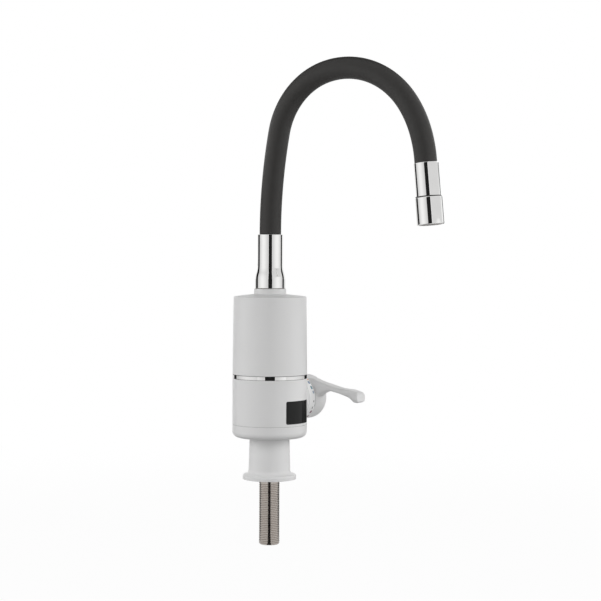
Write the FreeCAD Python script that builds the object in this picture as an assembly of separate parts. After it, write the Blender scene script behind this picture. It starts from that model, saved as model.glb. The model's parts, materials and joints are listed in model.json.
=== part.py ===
# Electric instant water heater tap, in millimetres.
# The origin is the middle of the flange's underside. Z points up, the spout and the
# display face -Y, and the lever is on the +X side.
import FreeCAD, Part
import math
import os

V = FreeCAD.Vector

# Fits
slip_clearance = 0.1
running_clearance = 0.05
loose_clearance = 0.3
swivel_gap = 0.3
lever_gap = 0.5
spray_gap = 0.6

# Threaded shank, G1/2
thread_major_diameter = 20.955
thread_pitch = 1.814
thread_depth = 1.1
thread_angle = 55.0
shank_below_deck = 67.0
shank_plain_land = 3.5
shank_end_chamfer = 1.2
shank_bore_diameter = 13.0
shank_neck_undercut = 0.4
shank_head_sides = 6
shank_head_across_flats = 24.0
shank_head_height = 6.0

# Pedestal and deck seal
pedestal_height = 42.7
pedestal_bottom_diameter = 42.8
pedestal_top_diameter = 40.6
pedestal_wall = 3.2
pedestal_floor = 9.0
pedestal_roof = 10.0
pedestal_flare_round = 4.5
flange_diameter = 54.6
flange_edge_height = 4.5
flange_rise = 1.4
flange_top_round = 2.4
flange_bottom_round = 0.4
deck_seal_inner_diameter = 28.0
deck_seal_outer_diameter = 46.0
deck_seal_thickness = 2.0

# Casings
case_diameter = 76.0
case_taper = 1.8
case_wall = 2.8
cap_height = 13.3
cap_edge_round = 6.5
cap_floor = 4.3
cap_inner_round = 1.0
cap_lip_height = 3.0
cap_lip_wall = 2.0
lower_case_height = 46.8
seam_round = 0.4
ring_height = 4.2
ring_edge_round = 0.5
upper_case_height = 79.1
shoulder_round = 1.6
cone_rise = 2.4
ceiling_depth = 2.9
spigot_wall = 2.2
spigot_height = 3.5
collar_diameter = 32.8
collar_wall = 1.15
collar_height = 5.5
collar_round = 0.7
collar_foot_round = 0.8

# Chassis plate and its ledge
ledge_width = 2.7
ledge_height = 2.5
chassis_thickness = 4.0
chassis_drop = 0.3
chassis_opening_diameter = 43.0

# Screws
case_screw_count = 4
case_screw_first_angle = 45.0
case_screw_diameter = 2.9
case_screw_length = 14.0
case_screw_head_diameter = 5.6
case_screw_head_height = 1.6
case_boss_diameter = 8.0
case_boss_room = 1.6
case_rib_width = 3.0
pedestal_screw_count = 3
pedestal_screw_first_angle = 30.0
pedestal_screw_edge = 3.0
pedestal_screw_diameter = 2.5
pedestal_screw_length = 9.0
pedestal_screw_head_diameter = 4.6
pedestal_screw_head_height = 1.6
tank_screw_count = 6
tank_screw_edge = 2.2
tank_screw_diameter = 2.5
tank_screw_length = 9.5
tank_screw_head_diameter = 4.2
tank_screw_head_height = 1.8
screw_slot_width = 0.8
screw_slot_depth = 0.7

# Display
window_width = 39.2
window_height = 23.0
window_above_seam = 2.6
window_corner_round = 1.6
window_recess = 0.15
window_thickness = 4.2
window_flange_margin = 1.6
window_flange_thickness = 1.4
display_board_width = 32.0
display_board_height = 19.0
display_board_thickness = 1.6
digit_block_width = 18.0
digit_block_height = 11.0
digit_block_thickness = 1.6

# Valve, dial and lever, along the knob's axis
boss_margin = 0.6
boss_proud = 2.0
valve_neck_diameter = 29.4
valve_neck_past_nut = 1.0
valve_flange_diameter = 32.8
valve_flange_room = 0.5
valve_flange_thickness = 6.0
valve_barrel_diameter = 27.0
valve_back_reach = 11.0
valve_gallery_diameter = 6.0
valve_gallery_offset = 5.0
valve_gallery_end = 4.0
inlet_neck_diameter = 19.0
inlet_neck_drop = 17.4
outlet_neck_diameter = 18.0
outlet_neck_room = 2.5
water_bore_diameter = 10.0
valve_nut_diameter = 38.4
valve_nut_thickness = 5.0
cartridge_diameter = 24.8
cartridge_wall = 1.4
cartridge_length = 22.0
cartridge_past_neck = 2.0
cartridge_front_wall = 4.0
disc_clearance = 0.2
disc_thickness = 2.4
disc_port_diameter = 5.0
spindle_diameter = 9.0
spindle_in_hub = 13.5
carrier_thickness = 3.0
dial_overhang = 1.0
dial_height = 12.0
dial_plate_thickness = 3.0
dial_hole_diameter = 16.0
dial_edge_round = 0.8
hub_step = 0.7
hub_thickness = 23.0
hub_wall = 2.8
hub_end_wall = 5.5
hub_inner_round = 0.6
hub_outer_round = 2.5
hub_socket_diameter = 17.0
hub_socket_inset = 1.5
lever_cap_diameter = 12.2
lever_cap_thickness = 1.6
lever_cap_proud = 0.2
lever_screw_diameter = 4.0
lever_screw_head_diameter = 8.0
lever_screw_head_height = 2.0
lever_screw_length = 13.0

# Lever arm: distance in front of the knob's axis, underside and crown above that axis
lever_sections = [
    (9.0, -6.0, 20.8),
    (23.0, 1.5, 18.2),
    (32.6, 7.0, 15.6),
    (39.0, 7.9, 13.8),
    (50.0, 5.6, 11.4),
    (58.5, 2.9, 10.6),
    (65.0, -1.6, 10.0),
    (72.2, -2.3, 7.6),
]
lever_width = 17.0
lever_inset = 0.3
lever_crown = 1.8

# Inlet, flow switch and heating tank
inlet_coupling_diameter = 17.0
flow_tube_diameter = 18.0
flow_tube_bore_diameter = 12.4
flow_tube_in_tank = 4.0
flow_tube_shoulder_diameter = 24.0
flow_tube_shoulder_height = 3.0
flow_tube_top_wall = 2.0
flow_tube_outlet_diameter = 8.0
flow_seat_height = 2.0
piston_height = 6.0
reed_diameter = 3.0
reed_below_barrel_crown = 2.5
tank_room = 1.4
heater_flange_thickness = 3.0
tank_seal_thickness = 1.5
tank_flange_width = 4.5
tank_wall = 1.5
tank_flange_thickness = 2.0
tank_top_round = 4.0
tank_neck_diameter = 12.0
tank_neck_bore_diameter = 8.4
tank_neck_exposed = 4.0
tank_neck_engaged = 4.0
element_rod_diameter = 6.2
element_plane_offset = 14.0
element_headroom = 17.0
strap_width = 2.6
strap_thickness = 0.8
strap_room = 0.7
lead_diameter = 2.2
lead_bend_radius = 4.0
lead_solder_drop = 6.0
cutout_diameter = 14.0
cutout_height = 3.5
cutout_offset = 15.5
probe_diameter = 4.0
probe_depth = 12.0
probe_head_diameter = 7.0
probe_head_height = 3.0

# Control board and mains entry
control_board_width = 38.0
control_board_headroom = 3.5
control_board_thickness = 1.6
control_board_above_seam = 6.0
triac_width = 10.0
triac_height = 15.0
triac_thickness = 4.5
triac_above_board_foot = 16.0
terminal_block_width = 18.0
terminal_block_height = 9.0
terminal_block_depth = 6.8
terminal_block_above_board_foot = 1.0
gland_above_seam = 26.0
gland_diameter = 10.2
gland_bore_diameter = 7.2
gland_flange_diameter = 15.0
gland_flange_thickness = 2.4
gland_length = 7.0

# Swivel joint of the spout
socket_wall = 2.05
socket_flange_width = 3.95
socket_flange_thickness = 3.0
socket_foot_height = 4.2
socket_top_drop = 0.3
socket_nut_wall = 2.0
socket_nut_thickness = 3.7
snap_ring_wall = 1.8
snap_ring_thickness = 1.2
snap_ring_drop = 1.6
nipple_depth = 12.4
nipple_in_sleeve = 5.7
barb_wall = 1.5
nipple_barb_length = 32.0
nipple_neck_diameter = 13.0
oring_section = 2.0
oring_depths = (2.6, 6.4)

# Base sleeve of the spout
sleeve_height = 54.7
bell_diameter = 30.7
bell_height = 12.4
bell_transition_height = 7.5
bell_transition_round = 22.0
bell_transition_share = 0.45
bell_foot_round = 0.5
sleeve_diameter = 26.3
sleeve_web_thickness = 6.0
sleeve_rim_round = 0.3
ferrule_wall = 0.5
ferrule_length = 34.0
ferrule_lift = 3.0

# Flexible spout: radii and angles of the arcs, from the base sleeve to the nozzle
hose_diameter = 21.9
hose_wall = 2.15
hose_core_wall = 1.4
hose_liner_wall = 1.9
hose_arc_radii = (528.0, 75.4, 86.3, 108.4, 127.7)
hose_arc_angles = (11.3, 63.6, 71.1, 16.3, 12.2)
hose_tip_run = 3.0
hose_in_nozzle = 16.0

# Nozzle, along the flow
nozzle_wall = 1.05
nozzle_length = 32.6
nozzle_edge_round = 0.6
nozzle_web_thickness = 4.0
spigot_diameter = 20.8
nozzle_spigot_wall = 1.5
spigot_length = 10.0
insert_neck_diameter = 12.4
insert_collar_thickness = 2.5
insert_barb_length = 13.0
nozzle_seal_section = 1.6
nozzle_seal_depth = 5.0
cup_diameter = 26.4
cup_length = 26.65
cup_top_round = 0.8
cup_foot_round = 0.8
cup_shoulder_thickness = 1.2
cup_shoulder_width = 0.9
aerator_diameter = 22.4
aerator_proud = 0.3
aerator_floor = 5.0
aerator_rim_wall = 1.4
aerator_throat_diameter = 16.4
aerator_seat_depth = 3.4
aerator_hole_diameter = 1.8
aerator_ring_step = 3.0
aerator_ring_counts = (6, 12)
screen_thickness = 1.0

# Levels and radii worked out from the driving sizes
thread_radius = thread_major_diameter / 2
neck_radius = thread_radius - shank_neck_undercut
shank_hole_radius = thread_radius + loose_clearance
case_radius = case_diameter / 2
case_top_radius = case_radius - case_taper / 2
case_inner_radius = case_radius - case_wall
cap_bottom = pedestal_height
cap_floor_level = cap_bottom + cap_floor
case_seam = cap_bottom + cap_height
ring_bottom = case_seam + lower_case_height
ring_top = ring_bottom + ring_height
shoulder_level = ring_top + upper_case_height
ceiling_level = shoulder_level - ceiling_depth
cone_top = shoulder_level + cone_rise
collar_top = cone_top + collar_height
knob_height = case_seam + lower_case_height / 2
boss_radius = lower_case_height / 2 - boss_margin
boss_reach = case_radius + boss_proud
valve_flange_radius = valve_flange_diameter / 2
valve_flange_face = math.sqrt((case_inner_radius - valve_flange_room) ** 2 - valve_flange_radius ** 2)
valve_neck_reach = boss_reach + valve_nut_thickness + valve_neck_past_nut
cartridge_front = valve_neck_reach + cartridge_past_neck
cartridge_back = cartridge_front - cartridge_length
disc_radius = cartridge_diameter / 2 - cartridge_wall - disc_clearance
dial_radius = boss_radius + dial_overhang
dial_end = boss_reach + dial_height
hub_radius = dial_radius - hub_step
chassis_top = ring_bottom - chassis_drop
chassis_bottom = chassis_top - chassis_thickness
chassis_radius = case_inner_radius - slip_clearance
spigot_outer_radius = case_inner_radius - slip_clearance
spigot_inner_radius = spigot_outer_radius - spigot_wall
heater_flange_radius = spigot_inner_radius - tank_room
tank_screw_circle_radius = heater_flange_radius - tank_screw_edge
tank_radius = heater_flange_radius - tank_flange_width
pedestal_screw_circle_radius = pedestal_top_diameter / 2 - pedestal_screw_edge
tank_seal_level = chassis_top + heater_flange_thickness
tank_flange_level = tank_seal_level + tank_seal_thickness
tank_flange_top = tank_flange_level + tank_flange_thickness
collar_radius = collar_diameter / 2
nut_recess_radius = collar_radius - collar_wall
socket_radius = nut_recess_radius - socket_nut_wall - 2 * slip_clearance
socket_bore_radius = socket_radius - socket_wall
socket_flange_radius = socket_radius + socket_flange_width
socket_flange_level = ceiling_level - socket_flange_thickness
socket_bottom = socket_flange_level - socket_foot_height
socket_top = collar_top - socket_top_drop
tank_top = socket_bottom - tank_neck_exposed
tank_neck_top = socket_bottom + tank_neck_engaged
tank_neck_radius = tank_neck_diameter / 2
socket_floor = tank_neck_top + loose_clearance
sleeve_bottom = collar_top + swivel_gap
sleeve_top = sleeve_bottom + sleeve_height
nipple_bottom = sleeve_bottom - nipple_depth
nipple_shoulder = sleeve_bottom + nipple_in_sleeve
nipple_radius = socket_bore_radius - running_clearance
hose_start = nipple_shoulder + sleeve_web_thickness
hose_radius = hose_diameter / 2
core_radius = hose_radius - hose_wall - slip_clearance
liner_radius = core_radius - hose_core_wall - slip_clearance
liner_bore_radius = liner_radius - hose_liner_wall
barb_radius = liner_bore_radius - loose_clearance
nipple_bore_radius = barb_radius - barb_wall
ferrule_radius = hose_radius + slip_clearance + ferrule_wall
sleeve_bore_radius = ferrule_radius + slip_clearance
shank_head_top = cap_floor_level + shank_head_height
inlet_neck_bottom = knob_height - inlet_neck_drop
outlet_neck_top = chassis_bottom - outlet_neck_room
shoulder_bottom = chassis_top - flow_tube_shoulder_height
flow_tube_top = tank_flange_level + flow_tube_in_tank
hub_start = dial_end + lever_gap
hub_end = hub_start + hub_thickness
spindle_end = hub_start + spindle_in_hub
hub_cavity_end = hub_end - hub_end_wall
lever_cap_seat = hub_end + lever_cap_proud - lever_cap_thickness
lever_recess_floor = lever_cap_seat - lever_screw_head_height - slip_clearance
display_radius = case_radius - window_recess - window_thickness
window_bottom = case_seam + window_above_seam
window_middle = window_bottom + window_height / 2
cap_lip_radius = case_inner_radius - slip_clearance
cap_lip_inner_radius = cap_lip_radius - cap_lip_wall
boss_circle_radius = cap_lip_inner_radius - case_boss_room - case_boss_diameter / 2
boss_offset = boss_circle_radius * math.sin(math.radians(case_screw_first_angle))
board_face = boss_offset + case_boss_diameter / 2 + slip_clearance
board_back = board_face + control_board_thickness
board_foot = case_seam + control_board_above_seam
board_top = chassis_bottom - control_board_headroom
element_leg_offset = flow_tube_diameter / 2 + strap_room + strap_width / 2
element_foot = knob_height + valve_barrel_diameter / 2 + loose_clearance + strap_thickness
element_top = tank_top - element_headroom


# Shapes that the pieces share


def rounded_wire(corners, place):
    """Closed wire through flat corners (across, up, rounding); place makes a point of each pair."""
    runs = []
    for index, (across, up, rounding) in enumerate(corners):
        here = V(across, up, 0)
        before = V(*corners[index - 1][:2], 0) - here
        after = V(*corners[(index + 1) % len(corners)][:2], 0) - here
        if rounding == 0:
            runs.append((here, None, here))
            continue
        before.normalize()
        after.normalize()
        half_angle = before.getAngle(after) / 2
        bisector = before + after
        bisector.normalize()
        reach = rounding / math.tan(half_angle)
        middle = here + bisector * (rounding / math.sin(half_angle) - rounding)
        runs.append((here + before * reach, middle, here + after * reach))
    edges = []
    for index, (start, middle, end) in enumerate(runs):
        if middle is not None:
            arc = Part.Arc(place(start.x, start.y), place(middle.x, middle.y), place(end.x, end.y))
            edges.append(arc.toShape())
        following = runs[(index + 1) % len(runs)][0]
        if (following - end).Length > Part.Precision.confusion():
            edges.append(Part.LineSegment(place(end.x, end.y), place(following.x, following.y)).toShape())
    return Part.Wire(edges)


def turned(corners):
    """Solid of revolution about Z, from corners of radius, height and rounding."""
    outline = rounded_wire(corners, lambda radius, height: V(radius, 0, height))
    return Part.Face(outline).revolve(V(0, 0, 0), V(0, 0, 1), 360)


def tube(inner_radius, outer_radius, low, high):
    """Straight tube about Z."""
    return turned([
        (inner_radius, low, 0),
        (outer_radius, low, 0),
        (outer_radius, high, 0),
        (inner_radius, high, 0),
    ])


def rod(radius, low, high, x=0.0, y=0.0):
    """Round bar parallel to Z."""
    return Part.makeCylinder(radius, high - low, V(x, y, low))


def block(x_low, x_high, y_low, y_high, z_low, z_high):
    """Box between two corners."""
    return Part.makeBox(x_high - x_low, y_high - y_low, z_high - z_low, V(x_low, y_low, z_low))


def moved(shape, base, turn):
    """Copy of a shape, turned about the origin and then shifted."""
    copy = shape.copy()
    copy.Placement = FreeCAD.Placement(base, turn).multiply(copy.Placement)
    return copy


def on_knob(shape):
    """Shape made about Z, laid along the knob's axis so that its height is the reach along +X."""
    return moved(shape, V(0, 0, knob_height), FreeCAD.Rotation(V(0, 1, 0), 90))


def on_circle(shape, count, first_angle, radius):
    """Copies of a shape spread evenly on a circle about Z."""
    copies = []
    for index in range(count):
        angle = first_angle + index * 360 / count
        turn = FreeCAD.Rotation(V(0, 0, 1), angle)
        copies.append(moved(shape, turn.multVec(V(radius, 0, 0)), turn))
    return copies


def screw(diameter, length, head_diameter, head_height):
    """Slotted pan screw with its head above Z = 0 and its shaft below."""
    body = rod(head_diameter / 2, 0, head_height).fuse(rod(diameter / 2, -length, 0))
    slot = block(-head_diameter, head_diameter, -screw_slot_width / 2, screw_slot_width / 2,
                 head_height - screw_slot_depth, head_height + screw_slot_depth)
    return body.cut(slot).removeSplitter()


def oring(section, outer_radius, level):
    """Round seal ring about Z."""
    return Part.makeTorus(outer_radius - section / 2, section / 2, V(0, 0, level))


# Shank, pedestal and bottom cap


def make_threaded_shank():
    flank = thread_depth * math.tan(math.radians(thread_angle / 2))
    land = (thread_pitch - 2 * flank) / 2
    root_radius = thread_radius - thread_depth
    bore_radius = shank_bore_diameter / 2
    threaded = shank_below_deck - shank_plain_land - shank_end_chamfer
    corners = [
        (bore_radius, cap_floor_level, 0),
        (neck_radius, cap_floor_level, 0),
        (neck_radius, 0, 0),
        (thread_radius, 0, 0),
    ]
    for turn in range(int(threaded / thread_pitch)):
        level = -shank_plain_land - turn * thread_pitch
        corners.append((thread_radius, level, 0))
        corners.append((root_radius, level - flank, 0))
        corners.append((root_radius, level - flank - land, 0))
        corners.append((thread_radius, level - 2 * flank - land, 0))
    corners.append((thread_radius, shank_end_chamfer - shank_below_deck, 0))
    corners.append((thread_radius - shank_end_chamfer, -shank_below_deck, 0))
    corners.append((bore_radius, -shank_below_deck, 0))
    corner_radius = shank_head_across_flats / 2 / math.cos(math.pi / shank_head_sides)
    hexagon = [V(corner_radius, 0, cap_floor_level)]
    for corner in range(1, shank_head_sides):
        turn = FreeCAD.Rotation(V(0, 0, 1), 360 / shank_head_sides * corner)
        hexagon.append(turn.multVec(hexagon[0]))
    head = Part.Face(Part.makePolygon(hexagon + hexagon[:1])).extrude(V(0, 0, shank_head_height))
    head = head.cut(rod(bore_radius, cap_floor_level, shank_head_top))
    return turned(corners).fuse(head).removeSplitter()


def on_pedestal_screws(shape):
    """Copies of a shape at the pedestal screws."""
    return on_circle(shape, pedestal_screw_count, pedestal_screw_first_angle, pedestal_screw_circle_radius)


def on_case_screws(shape):
    """Copies of a shape at the case screws."""
    return on_circle(shape, case_screw_count, case_screw_first_angle, boss_circle_radius)


def make_pedestal():
    bottom_radius = pedestal_bottom_diameter / 2
    top_radius = pedestal_top_diameter / 2
    flange_radius = flange_diameter / 2
    flare_level = flange_edge_height + flange_rise
    cavity_top = pedestal_height - pedestal_roof
    solid = turned([
        (shank_hole_radius, 0, 0),
        (flange_radius, 0, flange_bottom_round),
        (flange_radius, flange_edge_height, flange_top_round),
        (bottom_radius, flare_level, pedestal_flare_round),
        (top_radius, pedestal_height, seam_round),
        (shank_hole_radius, pedestal_height, 0),
    ])
    cavity_inner = shank_hole_radius - slip_clearance
    cavity = tube(cavity_inner, top_radius - pedestal_wall, pedestal_floor, cavity_top)
    groove = tube(deck_seal_inner_diameter / 2, deck_seal_outer_diameter / 2, 0, deck_seal_thickness)
    pilot_radius = pedestal_screw_diameter / 2 + running_clearance
    pilot_depth = pedestal_screw_length - cap_floor + loose_clearance
    pilot = rod(pilot_radius, pedestal_height - pilot_depth, pedestal_height)
    pilots = on_pedestal_screws(pilot)
    return solid.cut([cavity, groove] + pilots)


def make_deck_seal():
    inner = deck_seal_inner_diameter / 2 + slip_clearance
    return tube(inner, deck_seal_outer_diameter / 2 - slip_clearance, 0, deck_seal_thickness)


def make_pedestal_screws():
    one = screw(pedestal_screw_diameter, pedestal_screw_length,
                pedestal_screw_head_diameter, pedestal_screw_head_height)
    one.translate(V(0, 0, cap_floor_level))
    return Part.makeCompound(on_pedestal_screws(one))


def case_screw_head_level():
    """Level of the underside of the case screws' heads, in their recesses under the cap."""
    return cap_bottom + case_screw_head_height


def make_bottom_cap():
    shell = turned([
        (shank_hole_radius, cap_bottom, 0),
        (case_radius, cap_bottom, cap_edge_round),
        (case_radius, case_seam, seam_round),
        (cap_lip_radius, case_seam, 0),
        (cap_lip_radius, case_seam + cap_lip_height, 0),
        (cap_lip_inner_radius, case_seam + cap_lip_height, 0),
        (cap_lip_inner_radius, cap_floor_level, cap_inner_round),
        (shank_hole_radius, cap_floor_level, 0),
    ])
    hole = rod(case_screw_diameter / 2 + loose_clearance, cap_bottom, cap_floor_level)
    recess = rod(case_screw_head_diameter / 2 + loose_clearance, cap_bottom, case_screw_head_level())
    case_holes = on_case_screws(hole.fuse(recess))
    pedestal_hole = rod(pedestal_screw_diameter / 2 + slip_clearance, cap_bottom, cap_floor_level)
    pedestal_holes = on_pedestal_screws(pedestal_hole)
    lip_room = cap_lip_inner_radius - slip_clearance
    lip = tube(lip_room, case_inner_radius, case_seam, case_seam + cap_lip_height)
    notch = lip.common(window_prism(window_flange_margin + loose_clearance))
    return shell.cut(case_holes + pedestal_holes + [notch])


def make_case_screws():
    one = screw(case_screw_diameter, case_screw_length, case_screw_head_diameter, case_screw_head_height)
    one = moved(one, V(0, 0, case_screw_head_level()), FreeCAD.Rotation(V(1, 0, 0), 180))
    return Part.makeCompound(on_case_screws(one))


# Casings and trim ring


def window_prism(margin):
    """Rounded block through the front wall, wider than the window by a margin on every side."""
    half_width = window_width / 2 + margin
    low = window_bottom - margin
    high = window_bottom + window_height + margin
    rounding = window_corner_round + margin
    outline = rounded_wire([
        (-half_width, low, rounding),
        (half_width, low, rounding),
        (half_width, high, rounding),
        (-half_width, high, rounding),
    ], lambda across, up: V(across, 0, up))
    return Part.Face(outline).extrude(V(0, -case_diameter, 0))


def make_lower_housing():
    ledge_bottom = chassis_bottom - ledge_height
    wall = turned([
        (case_inner_radius, case_seam, 0),
        (case_radius, case_seam, seam_round),
        (case_radius, ring_bottom, seam_round),
        (case_inner_radius, ring_bottom, 0),
    ])
    wall_middle = case_inner_radius + case_wall / 2
    ledge = tube(case_inner_radius - ledge_width, wall_middle, ledge_bottom, chassis_bottom)
    ledge_middle = ledge_bottom + ledge_height / 2
    room = rod(case_inner_radius, case_seam, ring_bottom)
    dial_boss = on_knob(rod(boss_radius, 0, boss_reach)).cut(room)
    post = rod(case_boss_diameter / 2, cap_floor_level, ledge_middle)
    rib_length = wall_middle - boss_circle_radius
    rib_bottom = case_seam + cap_lip_height + loose_clearance
    rib = block(0, rib_length, -case_rib_width / 2, case_rib_width / 2, rib_bottom, ledge_middle)
    pilot_depth = case_screw_length + case_screw_head_level() + loose_clearance
    pilot = rod(case_screw_diameter / 2 + running_clearance, cap_floor_level, pilot_depth)
    posts = on_case_screws(post.fuse(rib))
    pilots = on_case_screws(pilot)
    solid = wall.fuse([ledge, dial_boss] + posts).removeSplitter()
    neck_hole = on_knob(rod(valve_neck_diameter / 2 + slip_clearance, 0, boss_reach))
    gland_hole = rear_rod(gland_diameter / 2 + slip_clearance, 0, case_radius)
    window = window_prism(slip_clearance)
    return solid.cut([neck_hole, gland_hole, window] + pilots)


def make_trim_ring():
    return turned([
        (case_inner_radius, ring_bottom, 0),
        (case_radius, ring_bottom, ring_edge_round),
        (case_radius, ring_top, ring_edge_round),
        (case_inner_radius, ring_top, 0),
    ])


def make_upper_housing():
    socket_hole = socket_radius + slip_clearance
    nut_floor = socket_top - socket_nut_thickness
    return turned([
        (spigot_inner_radius, chassis_top, 0),
        (spigot_outer_radius, chassis_top, 0),
        (spigot_outer_radius, ring_top, 0),
        (case_radius, ring_top, seam_round),
        (case_top_radius, shoulder_level, shoulder_round),
        (collar_radius, cone_top, collar_foot_round),
        (collar_radius, collar_top, collar_round),
        (nut_recess_radius, collar_top, 0),
        (nut_recess_radius, nut_floor, 0),
        (socket_hole, nut_floor, 0),
        (socket_hole, ceiling_level, 0),
        (case_top_radius - case_wall, ceiling_level, shoulder_round),
        (case_inner_radius, ring_top + spigot_height, 0),
        (spigot_inner_radius, ring_top + spigot_height, 0),
    ])


# Display


def make_display_window():
    face = tube(display_radius, case_radius - window_recess, cap_bottom, ring_bottom)
    flange = tube(display_radius, display_radius + window_flange_thickness, cap_bottom, ring_bottom)
    lens = face.common(window_prism(0))
    return lens.fuse(flange.common(window_prism(window_flange_margin))).removeSplitter()


def display_board_face():
    """Distance of the display board's front in front of the axis, where its edges meet the window."""
    half_width = display_board_width / 2
    return math.sqrt(display_radius ** 2 - half_width ** 2) - slip_clearance


def make_display_board():
    front = display_board_face()
    return block(-display_board_width / 2, display_board_width / 2, -front, display_board_thickness - front,
                 window_middle - display_board_height / 2, window_middle + display_board_height / 2)


def make_digit_block():
    front = display_board_face()
    return block(-digit_block_width / 2, digit_block_width / 2, -front - digit_block_thickness, -front,
                 window_middle - digit_block_height / 2, window_middle + digit_block_height / 2)


# Valve and dial


def make_inlet_coupling():
    return tube(water_bore_diameter / 2, inlet_coupling_diameter / 2, shank_head_top, inlet_neck_bottom)


def make_valve_body():
    flange_back = valve_flange_face - valve_flange_thickness
    barrel = rod(valve_barrel_diameter / 2, -valve_back_reach, flange_back)
    flange = rod(valve_flange_radius, flange_back, valve_flange_face)
    neck = rod(valve_neck_diameter / 2, valve_flange_face, valve_neck_reach)
    solid = on_knob(barrel.fuse([flange, neck]))
    inlet = rod(inlet_neck_diameter / 2, inlet_neck_bottom, knob_height)
    outlet = rod(outlet_neck_diameter / 2, knob_height, outlet_neck_top)
    solid = solid.fuse([inlet, outlet]).removeSplitter()
    pocket = on_knob(rod(cartridge_diameter / 2 + slip_clearance, cartridge_back, valve_neck_reach))
    gallery = rod(valve_gallery_diameter / 2, -valve_gallery_end, cartridge_back)
    lower = moved(on_knob(gallery), V(0, 0, -valve_gallery_offset), FreeCAD.Rotation())
    upper = moved(on_knob(gallery), V(0, 0, valve_gallery_offset), FreeCAD.Rotation())
    inlet_bore = rod(water_bore_diameter / 2, inlet_neck_bottom, knob_height - valve_gallery_offset)
    outlet_bore = rod(water_bore_diameter / 2, knob_height + valve_gallery_offset, outlet_neck_top)
    return solid.cut([pocket, lower, upper, inlet_bore, outlet_bore])


def make_valve_nut():
    inner = valve_neck_diameter / 2 + slip_clearance
    return on_knob(tube(inner, valve_nut_diameter / 2, boss_reach, boss_reach + valve_nut_thickness))


def make_cartridge_body():
    inner = cartridge_diameter / 2 - cartridge_wall
    shell = rod(cartridge_diameter / 2, cartridge_back, cartridge_front)
    cavity = rod(inner, cartridge_back, cartridge_front - cartridge_front_wall)
    guide = rod(spindle_diameter / 2 + running_clearance, cartridge_back, cartridge_front)
    return on_knob(shell.cut([cavity, guide]))


def make_fixed_disc():
    disc_front = cartridge_back + disc_thickness
    disc = rod(disc_radius, cartridge_back, disc_front)
    port_radius = disc_port_diameter / 2
    ports = []
    for side in (-1, 1):
        ports.append(rod(port_radius, cartridge_back, disc_front, side * valve_gallery_offset))
    return on_knob(disc.cut(ports))


def moving_disc_level():
    """Reach of the moving disc's sealing face along the knob's axis."""
    return cartridge_back + disc_thickness + running_clearance


def make_moving_disc():
    low = moving_disc_level()
    disc = rod(disc_radius, low, low + disc_thickness)
    half_width = disc_port_diameter / 2
    reach = valve_gallery_offset + half_width
    return on_knob(disc.cut(block(-reach, reach, -half_width, half_width, low, low + disc_thickness / 2)))


def make_valve_spindle():
    low = moving_disc_level() + disc_thickness
    carrier = rod(disc_radius, low, low + carrier_thickness)
    shaft = rod(spindle_diameter / 2, low, spindle_end)
    threaded_depth = lever_screw_length - lever_recess_floor + spindle_end + loose_clearance
    hole = rod(lever_screw_diameter / 2 + running_clearance, spindle_end - threaded_depth, spindle_end)
    return on_knob(carrier.fuse(shaft).removeSplitter().cut(hole))


def make_dial_ring():
    inner = valve_nut_diameter / 2 + loose_clearance
    plate_back = dial_end - dial_plate_thickness
    return on_knob(turned([
        (inner, boss_reach, 0),
        (dial_radius, boss_reach, dial_edge_round),
        (dial_radius, dial_end, dial_edge_round),
        (dial_hole_diameter / 2, dial_end, 0),
        (dial_hole_diameter / 2, plate_back, 0),
        (inner, plate_back, 0),
    ]))


# Lever


def lever_section(front, underside, crown):
    """Cross-section of the arm at a distance in front of the knob's axis: flat below, crowned above."""
    inner = hub_start + lever_inset
    outer = inner + lever_width
    side = crown - lever_crown
    corners = []
    for x, up in ((inner, side), (inner, underside), (outer, underside), (outer, side)):
        corners.append(V(x, -front, knob_height + up))
    top = V((inner + outer) / 2, -front, knob_height + crown)
    edges = []
    for index in range(3):
        edges.append(Part.LineSegment(corners[index], corners[index + 1]).toShape())
    edges.append(Part.Arc(corners[3], top, corners[0]).toShape())
    return Part.Wire(edges)


def make_lever_handle():
    hub = on_knob(turned([
        (0, hub_start, 0),
        (hub_radius, hub_start, hub_inner_round),
        (hub_radius, hub_end, hub_outer_round),
        (0, hub_end, 0),
    ]))
    arm = Part.makeLoft([lever_section(*section) for section in lever_sections], True, False)
    solid = hub.fuse(arm).removeSplitter()
    socket_face = hub_start + hub_socket_inset
    hollow = rod(hub_radius - hub_wall, hub_start, hub_cavity_end)
    hollow = hollow.cut(rod(hub_socket_diameter / 2, socket_face, hub_cavity_end))
    spindle_hole = rod(spindle_diameter / 2 + slip_clearance, hub_start, spindle_end + slip_clearance)
    screw_hole = rod(lever_screw_diameter / 2 + slip_clearance, hub_start, hub_end)
    recess = rod(lever_cap_diameter / 2 + slip_clearance, lever_recess_floor, hub_end)
    return solid.cut([on_knob(hollow), on_knob(spindle_hole), on_knob(screw_hole), on_knob(recess)])


def make_lever_screw():
    one = screw(lever_screw_diameter, lever_screw_length,
                lever_screw_head_diameter, lever_screw_head_height)
    one.translate(V(0, 0, lever_recess_floor))
    return on_knob(one)


def make_lever_cap():
    top = hub_end + lever_cap_proud
    return on_knob(turned([
        (0, lever_cap_seat, 0),
        (lever_cap_diameter / 2, lever_cap_seat, 0),
        (lever_cap_diameter / 2, top, lever_cap_proud),
        (0, top, 0),
    ]))


# Flow switch and heating tank


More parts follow.
